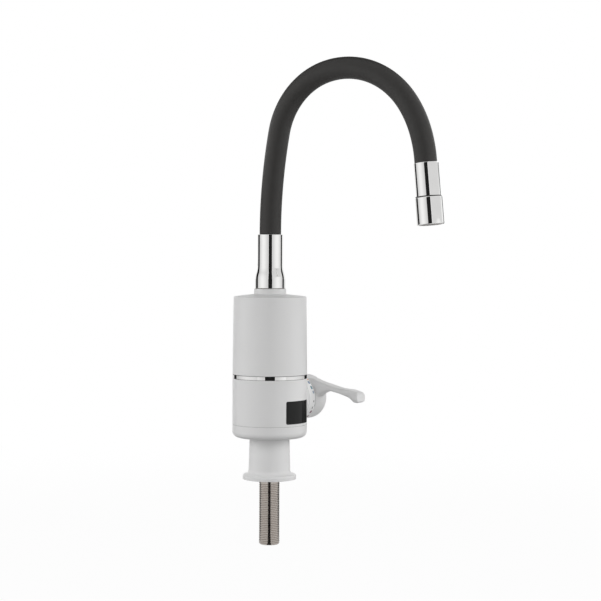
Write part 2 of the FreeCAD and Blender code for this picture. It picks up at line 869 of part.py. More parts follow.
def make_flow_switch_body():
    radius = flow_tube_diameter / 2
    bore = flow_tube_bore_diameter / 2
    seat = outlet_neck_top + flow_seat_height
    web = flow_tube_top - flow_tube_top_wall
    return turned([
        (water_bore_diameter / 2, outlet_neck_top, 0),
        (radius, outlet_neck_top, 0),
        (radius, shoulder_bottom, 0),
        (flow_tube_shoulder_diameter / 2, shoulder_bottom, 0),
        (flow_tube_shoulder_diameter / 2, chassis_top, 0),
        (radius, chassis_top, 0),
        (radius, flow_tube_top, 0),
        (flow_tube_outlet_diameter / 2, flow_tube_top, 0),
        (flow_tube_outlet_diameter / 2, web, 0),
        (bore, web, 0),
        (bore, seat, 0),
        (water_bore_diameter / 2, seat, 0),
    ])


def make_flow_piston():
    low = outlet_neck_top + flow_seat_height
    return rod(flow_tube_bore_diameter / 2 - running_clearance, low, low + piston_height)


def make_reed_switch():
    radius = reed_diameter / 2
    y = -flow_tube_diameter / 2 - radius - slip_clearance
    low = knob_height + valve_barrel_diameter / 2 - reed_below_barrel_crown
    return rod(radius, low, shoulder_bottom - slip_clearance, 0, y)


def make_chassis_plate():
    plate = tube(chassis_opening_diameter / 2, chassis_radius, chassis_bottom, chassis_top)
    pilot_end = tank_flange_top - tank_screw_length - loose_clearance
    pilot = rod(tank_screw_diameter / 2 + running_clearance, pilot_end, chassis_top)
    return plate.cut(on_tank_screws(pilot))


def on_tank_screws(shape):
    """Copies of a shape at the tank screws."""
    return on_circle(shape, tank_screw_count, 0, tank_screw_circle_radius)


def tank_screw_holes(low, high):
    return on_tank_screws(rod(tank_screw_diameter / 2 + slip_clearance, low, high))


def element_places():
    """Leg axes of the two hairpins, as pairs of x and y."""
    sides = (-element_leg_offset, element_leg_offset)
    faces = (-element_plane_offset, element_plane_offset)
    return [(x, y) for y in faces for x in sides]


def make_heater_flange():
    inner = flow_tube_diameter / 2 + slip_clearance
    plate = tube(inner, heater_flange_radius, chassis_top, tank_seal_level)
    legs = []
    for x, y in element_places():
        legs.append(rod(element_rod_diameter / 2 + running_clearance, chassis_top, tank_seal_level, x, y))
    return plate.cut(legs + tank_screw_holes(chassis_top, tank_seal_level))


def make_tank_seal():
    ring = tube(tank_radius - tank_wall, heater_flange_radius, tank_seal_level, tank_flange_level)
    return ring.cut(tank_screw_holes(tank_seal_level, tank_flange_level))


def make_heater_tank():
    inner = tank_radius - tank_wall
    neck_bore = tank_neck_bore_diameter / 2
    shell = turned([
        (inner, tank_flange_level, 0),
        (heater_flange_radius, tank_flange_level, 0),
        (heater_flange_radius, tank_flange_top, 0),
        (tank_radius, tank_flange_top, 0),
        (tank_radius, tank_top, tank_top_round),
        (tank_neck_radius, tank_top, 0),
        (tank_neck_radius, tank_neck_top, 0),
        (neck_bore, tank_neck_top, 0),
        (neck_bore, tank_top - tank_wall, 0),
        (inner, tank_top - tank_wall, tank_top_round - tank_wall),
    ])
    probe_hole_radius = probe_diameter / 2 + running_clearance
    probe_hole = rod(probe_hole_radius, tank_top - tank_wall, tank_top, 0, cutout_offset)
    return shell.cut([probe_hole] + tank_screw_holes(tank_flange_level, tank_flange_top))


def make_tank_screws():
    one = screw(tank_screw_diameter, tank_screw_length, tank_screw_head_diameter, tank_screw_head_height)
    one.translate(V(0, 0, tank_flange_top))
    return Part.makeCompound(on_tank_screws(one))


def make_heater_element():
    half = element_leg_offset
    rod_radius = element_rod_diameter / 2
    bend_level = element_top - half - rod_radius
    hairpins = []
    for face in (-1, 1):
        y = face * element_plane_offset
        leg = rod(rod_radius, element_foot, bend_level, half, y)
        section = Part.Face(Part.Wire(Part.makeCircle(rod_radius, V(half, y, bend_level))))
        bend = section.revolve(V(0, y, bend_level), V(0, -1, 0), 180)
        other = rod(rod_radius, element_foot, bend_level, -half, y)
        hairpins.append(leg.fuse([bend, other]).removeSplitter())
    return Part.makeCompound(hairpins)


def make_terminal_straps():
    top = element_foot
    straps = []
    for side in (-1, 1):
        x = side * element_leg_offset
        straps.append(block(x - strap_width / 2, x + strap_width / 2, -element_plane_offset,
                            element_plane_offset, top - strap_thickness, top))
    return Part.makeCompound(straps)


def make_heater_leads():
    radius = lead_diameter / 2
    top = element_foot - strap_thickness
    level = top - lead_solder_drop
    y = element_plane_offset
    leads = []
    for side in (-1, 1):
        x = side * element_leg_offset
        run_start = V(x, y + lead_bend_radius, level)
        run = Part.makeCylinder(radius, board_face - run_start.y, run_start, V(0, 1, 0))
        section = Part.Face(Part.Wire(Part.makeCircle(radius, V(x, y, level + lead_bend_radius))))
        bend = section.revolve(V(x, y + lead_bend_radius, level + lead_bend_radius), V(1, 0, 0), 90)
        rise = rod(radius, level + lead_bend_radius, top, x, y)
        leads.append(run.fuse([bend, rise]).removeSplitter())
    return Part.makeCompound(leads)


def make_thermal_cutout():
    return rod(cutout_diameter / 2, tank_top, tank_top + cutout_height, 0, -cutout_offset)


def make_temperature_probe():
    stem = rod(probe_diameter / 2, tank_top - probe_depth, tank_top, 0, cutout_offset)
    head = rod(probe_head_diameter / 2, tank_top, tank_top + probe_head_height, 0, cutout_offset)
    return stem.fuse(head).removeSplitter()


# Control board and mains entry


def rear_rod(radius, near, far):
    """Round bar along +Y at the height of the mains entry."""
    return Part.makeCylinder(radius, far - near, V(0, near, case_seam + gland_above_seam), V(0, 1, 0))


def make_control_board():
    half_width = control_board_width / 2
    return block(-half_width, half_width, board_face, board_back, board_foot, board_top)


def make_triac():
    low = board_foot + triac_above_board_foot
    back = board_face - triac_thickness
    return block(-triac_width / 2, triac_width / 2, back, board_face, low, low + triac_height)


def make_terminal_block():
    half_width = terminal_block_width / 2
    low = board_foot + terminal_block_above_board_foot
    return block(-half_width, half_width, board_back, board_back + terminal_block_depth,
                 low, low + terminal_block_height)


def make_cable_gland():
    outer_face = case_radius + slip_clearance + gland_flange_thickness
    inner_end = outer_face - gland_length
    body = rear_rod(gland_diameter / 2, inner_end, outer_face)
    flange = rear_rod(gland_flange_diameter / 2, case_radius + slip_clearance, outer_face)
    bore = rear_rod(gland_bore_diameter / 2, inner_end, outer_face)
    return body.fuse(flange).removeSplitter().cut(bore)


# Swivel of the spout


def snap_ring_levels():
    """Low and high faces of the snap ring."""
    high = socket_top - snap_ring_drop
    return high - snap_ring_thickness, high


def snap_ring_radii():
    """Inner and outer radius of the snap ring, half in the nipple and half in the socket."""
    half = snap_ring_wall / 2
    return socket_bore_radius - half, socket_bore_radius + half


def make_spout_socket():
    hole = tank_neck_radius + slip_clearance
    body = turned([
        (hole, socket_bottom, 0),
        (socket_radius, socket_bottom, 0),
        (socket_radius, socket_flange_level, 0),
        (socket_flange_radius, socket_flange_level, 0),
        (socket_flange_radius, ceiling_level, 0),
        (socket_radius, ceiling_level, 0),
        (socket_radius, socket_top, 0),
        (socket_bore_radius, socket_top, 0),
        (socket_bore_radius, socket_floor, 0),
        (hole, socket_floor, 0),
    ])
    low, high = snap_ring_levels()
    outer = snap_ring_radii()[1] + slip_clearance
    inner = socket_bore_radius - slip_clearance
    return body.cut(tube(inner, outer, low - slip_clearance, high + slip_clearance))


def make_socket_nut():
    inner = socket_radius + slip_clearance
    return tube(inner, inner + socket_nut_wall, socket_top - socket_nut_thickness, socket_top)


def make_snap_ring():
    return tube(*snap_ring_radii(), *snap_ring_levels())


def make_spout_nipple():
    neck = nipple_neck_diameter / 2
    body = turned([
        (nipple_bore_radius, nipple_bottom, 0),
        (nipple_radius, nipple_bottom, 0),
        (nipple_radius, nipple_shoulder, 0),
        (neck, nipple_shoulder, 0),
        (neck, hose_start, 0),
        (barb_radius, hose_start, 0),
        (barb_radius, hose_start + nipple_barb_length, 0),
        (nipple_bore_radius, hose_start + nipple_barb_length, 0),
    ])
    grooves = []
    for depth in oring_depths:
        level = nipple_bottom + depth
        half = oring_section / 2 + slip_clearance
        bottom = nipple_radius - oring_section
        grooves.append(tube(bottom, nipple_radius + slip_clearance, level - half, level + half))
    low, high = snap_ring_levels()
    inner = snap_ring_radii()[0] - slip_clearance
    grooves.append(tube(inner, nipple_radius + slip_clearance, low - slip_clearance, high + slip_clearance))
    return body.cut(grooves)


def make_swivel_orings():
    rings = []
    for depth in oring_depths:
        rings.append(oring(oring_section - running_clearance, nipple_radius, nipple_bottom + depth))
    return Part.makeCompound(rings)


def make_base_sleeve():
    bell = bell_diameter / 2
    radius = sleeve_diameter / 2
    transition = sleeve_bottom + bell_height
    slope = math.atan2(bell - radius, bell_transition_height)
    slope_run = math.hypot(bell - radius, bell_transition_height)
    rounding = min(bell_transition_round, bell_transition_share * slope_run / math.tan(slope / 2))
    return turned([
        (nipple_radius + slip_clearance, sleeve_bottom, 0),
        (bell, sleeve_bottom, bell_foot_round),
        (bell, transition, rounding),
        (radius, transition + bell_transition_height, rounding),
        (radius, sleeve_top, sleeve_rim_round),
        (sleeve_bore_radius, sleeve_top, 0),
        (sleeve_bore_radius, hose_start, 0),
        (nipple_neck_diameter / 2 + slip_clearance, hose_start, 0),
        (nipple_neck_diameter / 2 + slip_clearance, nipple_shoulder, 0),
        (nipple_radius + slip_clearance, nipple_shoulder, 0),
    ])


def make_hose_ferrule():
    low = hose_start + ferrule_lift
    return tube(hose_radius + slip_clearance, ferrule_radius, low, low + ferrule_length)


# Flexible spout


def hose_route():
    """Edges of the hose's middle line, its place at the nozzle's rim, and its last heading."""
    edges = [Part.LineSegment(V(0, 0, hose_start), V(0, 0, sleeve_top)).toShape()]
    place = V(0, 0, sleeve_top)
    heading = 0.0
    for radius, turn in zip(hose_arc_radii, hose_arc_angles):
        points = [place]
        for share in (0.5, 1.0):
            angle = math.radians(heading + share * turn)
            start = math.radians(heading)
            forward = radius * (math.cos(start) - math.cos(angle))
            upward = radius * (math.sin(angle) - math.sin(start))
            points.append(place + V(0, -forward, upward))
        edges.append(Part.Arc(*points).toShape())
        place = points[-1]
        heading += turn
    along = V(0, -math.sin(math.radians(heading)), math.cos(math.radians(heading)))
    edges.append(Part.LineSegment(place, place + along * (hose_tip_run + hose_in_nozzle)).toShape())
    return edges, place + along * hose_tip_run, heading


def hose_bar(radius):
    """Solid bar of one radius along the hose's middle line."""
    edges = hose_route()[0]
    section = Part.Wire(Part.makeCircle(radius, V(0, 0, hose_start), V(0, 0, 1)))
    return Part.Wire(edges).makePipeShell([section], True, False)


def hose_tube(inner_radius, outer_radius):
    return hose_bar(outer_radius).cut(hose_bar(inner_radius))


def make_hose_sleeve():
    return hose_tube(hose_radius - hose_wall, hose_radius)


def make_hose_core():
    return hose_tube(core_radius - hose_core_wall, core_radius)


def make_hose_liner():
    return hose_tube(liner_bore_radius, liner_radius)


# Nozzle: made about Z with height along the flow, then set on the end of the hose

nozzle_spigot_bore = spigot_diameter / 2 - nozzle_spigot_wall
nozzle_web = hose_in_nozzle + slip_clearance
nozzle_web_end = nozzle_web + nozzle_web_thickness
cup_start = nozzle_length + spray_gap
cup_end = cup_start + cup_length
spigot_end = nozzle_length + spigot_length
cup_shoulder = spigot_end + spray_gap
aerator_start = cup_shoulder + cup_shoulder_thickness
aerator_end = cup_end + aerator_proud
screen_seat = aerator_start + aerator_seat_depth


def on_nozzle(shape):
    edges, place, heading = hose_route()
    return moved(shape, place, FreeCAD.Rotation(V(1, 0, 0), heading))


def make_nozzle_sleeve():
    bore = hose_radius + slip_clearance
    radius = bore + nozzle_wall
    spigot = spigot_diameter / 2
    hole = insert_neck_diameter / 2 + slip_clearance
    body = turned([
        (bore, 0, 0),
        (radius, 0, nozzle_edge_round),
        (radius, nozzle_length, nozzle_edge_round),
        (spigot, nozzle_length, 0),
        (spigot, spigot_end, 0),
        (nozzle_spigot_bore, spigot_end, 0),
        (nozzle_spigot_bore, nozzle_web_end, 0),
        (hole, nozzle_web_end, 0),
        (hole, nozzle_web, 0),
        (bore, nozzle_web, 0),
    ])
    level = nozzle_length + nozzle_seal_depth
    half = nozzle_seal_section / 2 + running_clearance
    groove = tube(spigot - nozzle_seal_section / 2, spigot + slip_clearance, level - half, level + half)
    return on_nozzle(body.cut(groove))


def make_nozzle_insert():
    neck = insert_neck_diameter / 2
    collar = nozzle_spigot_bore - 2 * slip_clearance
    return on_nozzle(turned([
        (nipple_bore_radius, nozzle_web - insert_barb_length, 0),
        (barb_radius, nozzle_web - insert_barb_length, 0),
        (barb_radius, nozzle_web, 0),
        (neck, nozzle_web, 0),
        (neck, nozzle_web_end, 0),
        (collar, nozzle_web_end, 0),
        (collar, nozzle_web_end + insert_collar_thickness, 0),
        (nipple_bore_radius, nozzle_web_end + insert_collar_thickness, 0),
    ]))


def make_nozzle_seal():
    level = nozzle_length + nozzle_seal_depth
    half = nozzle_seal_section / 2
    spigot = spigot_diameter / 2
    return on_nozzle(tube(spigot - half + running_clearance, spigot, level - half, level + half))


def make_spray_cup():
    radius = cup_diameter / 2
    bore = spigot_diameter / 2 + running_clearance
    shoulder = spigot_diameter / 2 - cup_shoulder_width
    aerator_bore = aerator_diameter / 2 + slip_clearance
    return on_nozzle(turned([
        (bore, cup_start, 0),
        (radius, cup_start, cup_top_round),
        (radius, cup_end, cup_foot_round),
        (aerator_bore, cup_end, 0),
        (aerator_bore, aerator_start, 0),
        (shoulder, aerator_start, 0),
        (shoulder, cup_shoulder, 0),
        (bore, cup_shoulder, 0),
    ]))


def make_aerator_insert():
    radius = aerator_diameter / 2
    floor = aerator_end - aerator_floor
    rim = radius - aerator_rim_wall
    body = turned([
        (0, floor, 0),
        (aerator_throat_diameter / 2, floor, 0),
        (aerator_throat_diameter / 2, screen_seat, 0),
        (rim, screen_seat, 0),
        (rim, aerator_start, 0),
        (radius, aerator_start, 0),
        (radius, aerator_end, cup_foot_round),
        (0, aerator_end, 0),
    ])
    hole_radius = aerator_hole_diameter / 2
    holes = [rod(hole_radius, floor, aerator_end)]
    for ring, count in enumerate(aerator_ring_counts, start=1):
        holes += on_circle(holes[0], count, 0, ring * aerator_ring_step)
    return on_nozzle(body.cut(holes))


def make_aerator_screen():
    radius = aerator_diameter / 2 - aerator_rim_wall - slip_clearance
    return on_nozzle(rod(radius, screen_seat - screen_thickness, screen_seat))


# Every node and the function that makes it

pieces = {
    "threaded_shank": make_threaded_shank,
    "pedestal": make_pedestal,
    "deck_seal": make_deck_seal,
    "pedestal_screws": make_pedestal_screws,
    "bottom_cap": make_bottom_cap,
    "case_screws": make_case_screws,
    "lower_housing": make_lower_housing,
    "trim_ring": make_trim_ring,
    "upper_housing": make_upper_housing,
    "display_window": make_display_window,
    "display_board": make_display_board,
    "digit_block": make_digit_block,
    "inlet_coupling": make_inlet_coupling,
    "valve_body": make_valve_body,
    "valve_nut": make_valve_nut,
    "cartridge_body": make_cartridge_body,
    "fixed_disc": make_fixed_disc,
    "moving_disc": make_moving_disc,
    "valve_spindle": make_valve_spindle,
    "dial_ring": make_dial_ring,
    "lever_handle": make_lever_handle,
    "lever_screw": make_lever_screw,
    "lever_cap": make_lever_cap,
    "flow_switch_body": make_flow_switch_body,
    "flow_piston": make_flow_piston,
    "reed_switch": make_reed_switch,
    "chassis_plate": make_chassis_plate,
    "heater_flange": make_heater_flange,
    "tank_seal": make_tank_seal,
    "heater_tank": make_heater_tank,
    "tank_screws": make_tank_screws,
    "heater_element": make_heater_element,
    "terminal_straps": make_terminal_straps,
    "heater_leads": make_heater_leads,
    "thermal_cutout": make_thermal_cutout,
    "temperature_probe": make_temperature_probe,
    "control_board": make_control_board,
    "triac": make_triac,
    "terminal_block": make_terminal_block,
    "cable_gland": make_cable_gland,
    "spout_socket": make_spout_socket,
    "socket_nut": make_socket_nut,
    "snap_ring": make_snap_ring,
    "spout_nipple": make_spout_nipple,
    "swivel_orings": make_swivel_orings,
    "base_sleeve": make_base_sleeve,
    "hose_ferrule": make_hose_ferrule,
    "hose_sleeve": make_hose_sleeve,
    "hose_core": make_hose_core,
    "hose_liner": make_hose_liner,
    "nozzle_sleeve": make_nozzle_sleeve,
    "nozzle_insert": make_nozzle_insert,
    "nozzle_seal": make_nozzle_seal,
    "spray_cup": make_spray_cup,
    "aerator_insert": make_aerator_insert,
    "aerator_screen": make_aerator_screen,
}

os.makedirs("parts", exist_ok=True)
for name, make in pieces.items():
    shape = make()
    shape.exportStep("parts/" + name + ".step")
    state = "valid" if shape.isValid() else "NOT VALID"
    print(name, len(shape.Solids), "solids", state, round(shape.Volume, 1))

route_length = sum(edge.Length for edge in hose_route()[0])
hose_section = math.pi * (hose_radius ** 2 - (hose_radius - hose_wall) ** 2)
print("hose route length", round(route_length, 2))
print("hose section times length", round(hose_section * route_length, 1))
print("nozzle seat", hose_route()[1], "heading", hose_route()[2])
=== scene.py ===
# %% [markdown]
# # An instant water heater tap
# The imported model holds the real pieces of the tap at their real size, and this lesson dresses them.
# Everything is in metres: the middle of the flange's underside is the origin, up is +Z, the spout and
# the display look along -Y, and the lever's knob stands on the +X side.

# %% Load the frame
import json
import math

import bpy
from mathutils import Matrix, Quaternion, Vector


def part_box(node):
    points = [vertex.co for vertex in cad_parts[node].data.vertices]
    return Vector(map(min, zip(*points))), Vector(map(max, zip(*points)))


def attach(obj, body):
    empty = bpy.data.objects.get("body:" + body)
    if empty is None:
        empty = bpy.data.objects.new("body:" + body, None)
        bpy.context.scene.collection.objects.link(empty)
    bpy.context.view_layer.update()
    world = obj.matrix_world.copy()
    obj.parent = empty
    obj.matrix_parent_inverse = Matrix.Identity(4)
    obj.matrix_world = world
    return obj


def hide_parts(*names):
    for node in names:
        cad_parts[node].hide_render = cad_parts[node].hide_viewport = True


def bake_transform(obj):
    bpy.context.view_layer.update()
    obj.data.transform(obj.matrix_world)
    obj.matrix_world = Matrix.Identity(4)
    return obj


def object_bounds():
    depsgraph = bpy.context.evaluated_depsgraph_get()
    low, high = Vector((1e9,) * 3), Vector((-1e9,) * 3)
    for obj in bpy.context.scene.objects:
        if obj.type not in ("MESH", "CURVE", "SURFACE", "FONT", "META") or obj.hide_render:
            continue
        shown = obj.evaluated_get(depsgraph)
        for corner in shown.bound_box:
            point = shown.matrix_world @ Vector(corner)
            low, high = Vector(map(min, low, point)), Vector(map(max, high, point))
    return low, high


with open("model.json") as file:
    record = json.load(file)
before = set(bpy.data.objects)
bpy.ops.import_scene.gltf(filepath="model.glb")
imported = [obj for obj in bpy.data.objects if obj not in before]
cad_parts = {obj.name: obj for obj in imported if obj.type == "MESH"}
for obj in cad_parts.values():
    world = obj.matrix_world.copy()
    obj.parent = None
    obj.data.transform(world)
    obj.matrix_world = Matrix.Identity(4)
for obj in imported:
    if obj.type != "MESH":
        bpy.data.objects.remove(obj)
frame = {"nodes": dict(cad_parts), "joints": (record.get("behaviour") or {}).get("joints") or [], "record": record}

cad_box = [list(corner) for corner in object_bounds()]
record = frame["record"]

# %% [markdown]
# ## The camera
# A product photograph like this one is taken from far away with a long lens, so that upright edges
# stay upright. The camera stands a little above the middle of the tap and looks slightly down. It is
# placed from two real measures, its distance and its height, and one compass direction, because those
# are easier to correct than an angle for each axis.

# %% Camera
camera_side = Vector((-0.8387, -0.5446, 0.0))
picture_right = Vector((-camera_side.y, camera_side.x, 0.0))
camera_distance = 1.75
camera_height = 0.2406
aim_right = 0.03095
aim_height = 0.182
focal_pixels = 1720.0
picture_pixels = 601.0
sensor_width_mm = 36.0
camera_roll = math.radians(0.26)

camera_data = bpy.data.cameras.new("camera")
camera_data.sensor_width = sensor_width_mm
camera_data.lens = focal_pixels / picture_pixels * sensor_width_mm
camera = bpy.data.objects.new("camera", camera_data)
bpy.context.scene.collection.objects.link(camera)
camera.location = camera_side * camera_distance + Vector((0, 0, camera_height))
aim = picture_right * aim_right + Vector((0, 0, aim_height))
level_view = (aim - camera.location).to_track_quat("-Z", "Y")
camera.rotation_mode = "QUATERNION"
camera.rotation_quaternion = level_view @ Quaternion((0, 0, 1), camera_roll)
bpy.context.scene.camera = camera
bpy.context.scene.view_settings.view_transform = "Standard"
print("camera: lens", round(camera_data.lens, 1), "mm")

# %% [markdown]
# ## Maths that reads as maths
# A finish is a small calculation: patches of noise, a mask, a mix. Wiring Math nodes by hand hides
# that, so a socket is wrapped in a class that understands plus and times, and every other node comes
# from one method. Numbers that are the same all over go straight on the shader.

# %% Shader helpers
class Signal:
    """One socket's value, so that shader maths is written as plain arithmetic."""

    def __init__(self, finish, socket):
        self.finish = finish
        self.socket = socket

    def _worked(self, operation, first, second):
        return self.finish.node("ShaderNodeMath", {"operation": operation}, {0: first, 1: second})

    def __add__(self, other):
        return self._worked("ADD", self, other)

    def __mul__(self, other):
        return self._worked("MULTIPLY", self, other)

    __radd__ = __add__
    __rmul__ = __mul__


class Finish:
    """One material: a shader with its plain numbers, and one method that makes every other node."""

    # places of a Mix node's colour sockets
    mix_share, mix_first, mix_second, mix_result = 0, 6, 7, 2

    def __init__(self, name, plain):
        self.material = bpy.data.materials.new(name)
        self.material.use_nodes = True
        self.tree = self.material.node_tree
        self.shader = self.tree.nodes["Principled BSDF"]
        for socket, value in plain.items():
            self.shader.inputs[socket].default_value = value
        self.place = self.node("ShaderNodeTexCoord", {}, {}, "Object")

    def node(self, kind, settings, inputs, output=0):
        made = self.tree.nodes.new(kind)
        for setting, value in settings.items():
            setattr(made, setting, value)
        for name, value in inputs.items():
            self.feed(made.inputs[name], value)
        return Signal(self, made.outputs[output])

    def feed(self, socket, value):
        if isinstance(value, Signal):
            self.tree.links.new(value.socket, socket)
        else:
            socket.default_value = value

    def varies(self, inputs):
        for name, value in inputs.items():
            self.feed(self.shader.inputs[name], value)

    def noise(self, size, detail=2.0, place=None):
        """Cloudy values from 0 to 1, in patches about as wide as size."""
        inputs = {"Vector": place or self.place, "Scale": 1 / size, "Detail": detail}
        return self.node("ShaderNodeTexNoise", {}, inputs)

    def stretched(self, shares):
        """Object coordinates squeezed along each axis, so that a pattern becomes streaks."""
        return self.node("ShaderNodeMapping", {}, {"Vector": self.place, "Scale": shares})

    def mix(self, share, first, second):
        inputs = {self.mix_share: share, self.mix_first: first, self.mix_second: second}
        return self.node("ShaderNodeMix", {"data_type": "RGBA"}, inputs, self.mix_result)

    def fade(self, place, near, far, first, second):
        """One value up to a near distance from the middle, another from a far one, and a soft change."""
        away = self.node("ShaderNodeVectorMath", {"operation": "LENGTH"}, {0: place}, "Value")
        inputs = {"Value": away, "From Min": near, "From Max": far, "To Min": first, "To Max": second}
        return self.node("ShaderNodeMapRange", {"interpolation_type": "SMOOTHSTEP"}, inputs)

    def relief(self, height, depth):
        """A bump of that depth in metres, on the shader's normal."""
        self.varies({"Normal": self.node("ShaderNodeBump", {}, {"Height": height, "Distance": depth})})


def grey(level, warmth=0.0):
    """A neutral colour, a little warmer or cooler."""
    return (level * (1 + warmth), level, level * (1 - warmth), 1.0)


finishes = {}
print("helpers ready")

# %% [markdown]
# ## White moulded plastic
# The casings, the stem and the lever are injection-moulded in white with a soft gloss. Up close such a
# surface is never flat paint: the polish varies in soft clouds and the skin has a very shallow ripple.
# A picture of plastic would stretch and blur, so the clouds and the ripple are noise at real sizes.
# The dial's ring is given a whiter copy of the same plastic, painted light that lifts it out of the shade of the
# casing and the lever, so the two tones are given to one function.

# %% Finish: white plastic
gloss_socket = "Specular IOR Level"
cloud_size = 0.035
polish_size = cloud_size / 3
ripple_size = 0.0022
ripple_depth = 0.00002
plastic_gloss = 0.2
plastic_smooth = 0.26
plastic_drift = 0.12
plastic_warmth = 0.002
case_tones = (0.685, 0.715)
lit_dial_tones = (0.77, 0.80)


def white_plastic(name, tones):
    """White plastic that drifts between two close tones."""
    made = Finish(name, {gloss_socket: plastic_gloss})
    dark, light = [grey(tone, plastic_warmth) for tone in tones]
    made.varies({
        "Base Color": made.mix(made.noise(cloud_size), dark, light),
        "Roughness": plastic_smooth + plastic_drift * made.noise(polish_size),
    })
    made.relief(made.noise(ripple_size), ripple_depth)
    return made


finishes["white_plastic"] = white_plastic("white_plastic", case_tones)
# painted light: a whiter copy of the casing's plastic for the dial's ring, which stands in shade
lit_dial_plastic = white_plastic("lit_dial_plastic", lit_dial_tones)
print("white plastic: clouds", cloud_size, "m")

# %% [markdown]
# ## Chrome and the other metals
# Chrome is a mirror: almost all that is seen in it is the studio, so its colour is plain and only the
# polish varies. Turned steel and brass carry fine rings from the lathe, which noise gives when
# it is squeezed along the axis of turning.

# %% Finish: metals
smudge_size = 0.006
smudge_detail = 3.0
smudge_shade = 0.94
turning_pitch = 0.00025
turning_detail = 1.0
turning_depth = 0.000004
turning_squeeze = (0.02, 0.02, 1.0)


def metal(slot, colour, smooth, rough):
    """A metal whose polish drifts from smooth to rough in patches."""
    made = Finish(slot, {"Metallic": 1.0})
    share = made.noise(smudge_size, smudge_detail)
    darker = tuple(smudge_shade * part for part in colour[:3]) + (1.0,)
    made.varies({
        "Base Color": made.mix(share, darker, colour),
        "Roughness": smooth + (rough - smooth) * share,
    })
    finishes[slot] = made
    return made


def turned_metal(slot, colour, smooth, rough):
    """A metal with lathe rings about the upright axis."""
    made = metal(slot, colour, smooth, rough)
    rings = made.noise(turning_pitch, turning_detail, made.stretched(turning_squeeze))
    made.relief(rings, turning_depth)
    return made


# how it is made, its slot, its colour, and its roughness where it is smooth and where it is rough
metal_rows = (
    (metal, "bright_chrome", (0.868, 0.865, 0.857, 1.0), 0.02, 0.05),
    (turned_metal, "thread_steel", (0.60, 0.555, 0.515, 1.0), 0.10, 0.18),
    (turned_metal, "screw_steel", (0.55, 0.55, 0.56, 1.0), 0.25, 0.40),
    (turned_metal, "brass", (0.78, 0.58, 0.28, 1.0), 0.20, 0.38),
    (metal, "tank_steel", (0.62, 0.62, 0.63, 1.0), 0.28, 0.45),
    (metal, "copper", (0.80, 0.42, 0.28, 1.0), 0.22, 0.40),
)
for make, slot, colour, smooth, rough in metal_rows:
    make(slot, colour, smooth, rough)
print("metals:", [slot for make, slot, *rest in metal_rows])

# %% [markdown]
# ## Black window, rubber, silicone and what is inside
# The display's window is smoked acrylic, a deep black with a hard gloss. The spout's skin is silicone:
# dark and matt, with a fine bloom that never gets quite even. The rest is hidden in the casing, and
# each still gets its own colour and grain, because the model is also looked at piece by piece. All of
# them are made alike, so a table of rows is easier to compare than a function for each.

# %% Finish: plain dark and hidden materials
cloud_grains = 12
polish_grains = 5
plain_gloss = 0.5
window_gloss = 0.08
silicone_gloss = 0.35


def moulded(slot, dark, light, smooth, rough, grain, depth, gloss=plain_gloss):
    """A moulded material: two close colours, a drifting polish and a grain of one size."""
    made = Finish(slot, {gloss_socket: gloss})
    share = made.noise(grain * cloud_grains)
    made.varies({
        "Base Color": made.mix(share, dark, light),
        "Roughness": smooth + (rough - smooth) * made.noise(grain * polish_grains),
    })
    made.relief(made.noise(grain), depth)
    finishes[slot] = made
    return made


# slot, dark and light colour, roughness from smooth to rough, size and depth of the grain, own gloss
moulded_rows = (
    ("black_window", grey(0.019), grey(0.023), 0.05, 0.10, 0.002, 0.000004, window_gloss),
    ("dark_silicone", grey(0.027, 0.05), grey(0.033, 0.05), 0.48, 0.62, 0.0006, 0.00003, silicone_gloss),
    ("grey_rubber", grey(0.10), grey(0.14), 0.55, 0.75, 0.0008, 0.00003),
    ("black_plastic", grey(0.015), grey(0.025), 0.35, 0.50, 0.0007, 0.00003),
    ("engineering_plastic", grey(0.42, 0.05), grey(0.50, 0.05), 0.35, 0.50, 0.001, 0.00002),
    ("ceramic", grey(0.78, 0.02), grey(0.84, 0.02), 0.08, 0.16, 0.002, 0.000005),
    ("circuit_board", (0.02, 0.11, 0.05, 1), (0.03, 0.16, 0.07, 1), 0.30, 0.45, 0.0012, 0.00002),
    ("clear_hose", grey(0.62, 0.04), grey(0.70, 0.04), 0.18, 0.30, 0.0015, 0.00001),
)
for row in moulded_rows:
    moulded(*row)
print("finishes:", len(finishes))

# %% [markdown]
# ## Dressing the nodes
# Most of the tap's pieces have the right shape already, and only need their finish. The record says which slot
# each node takes, so one loop dresses them all, and only the dial's ring is then given a whiter copy of the
# plastic, painted light where the ring stands in the shade of the casing and the lever.

# %% Give every node its finish
for row in record["subparts"]:
    node = frame["nodes"][row["node"]]
    node.data.materials.clear()
    node.data.materials.append(finishes[row["material_slot"]].material)
# painted light: the dial's ring takes the whiter copy of the plastic
frame["nodes"]["dial_ring"].data.materials[0] = lit_dial_plastic.material
print("dressed", len(record["subparts"]), "nodes")

# %% [markdown]
# ## The line of the flexible spout
# The spout is a gooseneck: a water tube, a flexible metal core and a silicone skin, all on one line that rises
# from the chrome sleeve, goes over in an arch and ends in the nozzle. A curve could be drawn by eye, but here the
# line is known as a chain of arcs, so it is kept as radii and turns. It is parted at the crown into a lower and an
# upper half.

# %% Route of the spout
route_start = 0.206
sleeve_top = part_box("base_sleeve")[1].z
arc_radii = (0.528, 0.0754, 0.0863, 0.1084, 0.1277)
arc_turns = (11.3, 63.6, 71.1, 16.3, 12.2)
tip_run = 0.003
run_in_nozzle = 0.016
quarter_turn = 90.0
crown_heading = quarter_turn


def heading_vector(heading):
    """The way the line points when it has turned that far from upright, in degrees."""
    angle = math.radians(heading)
    return Vector((0.0, -math.sin(angle), math.cos(angle)))


def outward_vector(heading):
    """From an arc's centre to the line, at that heading."""
    return heading_vector(heading - quarter_turn)


def lower_runs():
    """The arcs up to the crown, as (radius, turn)."""
    runs = []
    turned_so_far = 0.0
    for radius, turn in zip(arc_radii, arc_turns):
        turn = min(turn, crown_heading - turned_so_far)
        if turn <= 0:
            break
        runs.append((radius, turn))
        turned_so_far += turn
    return runs


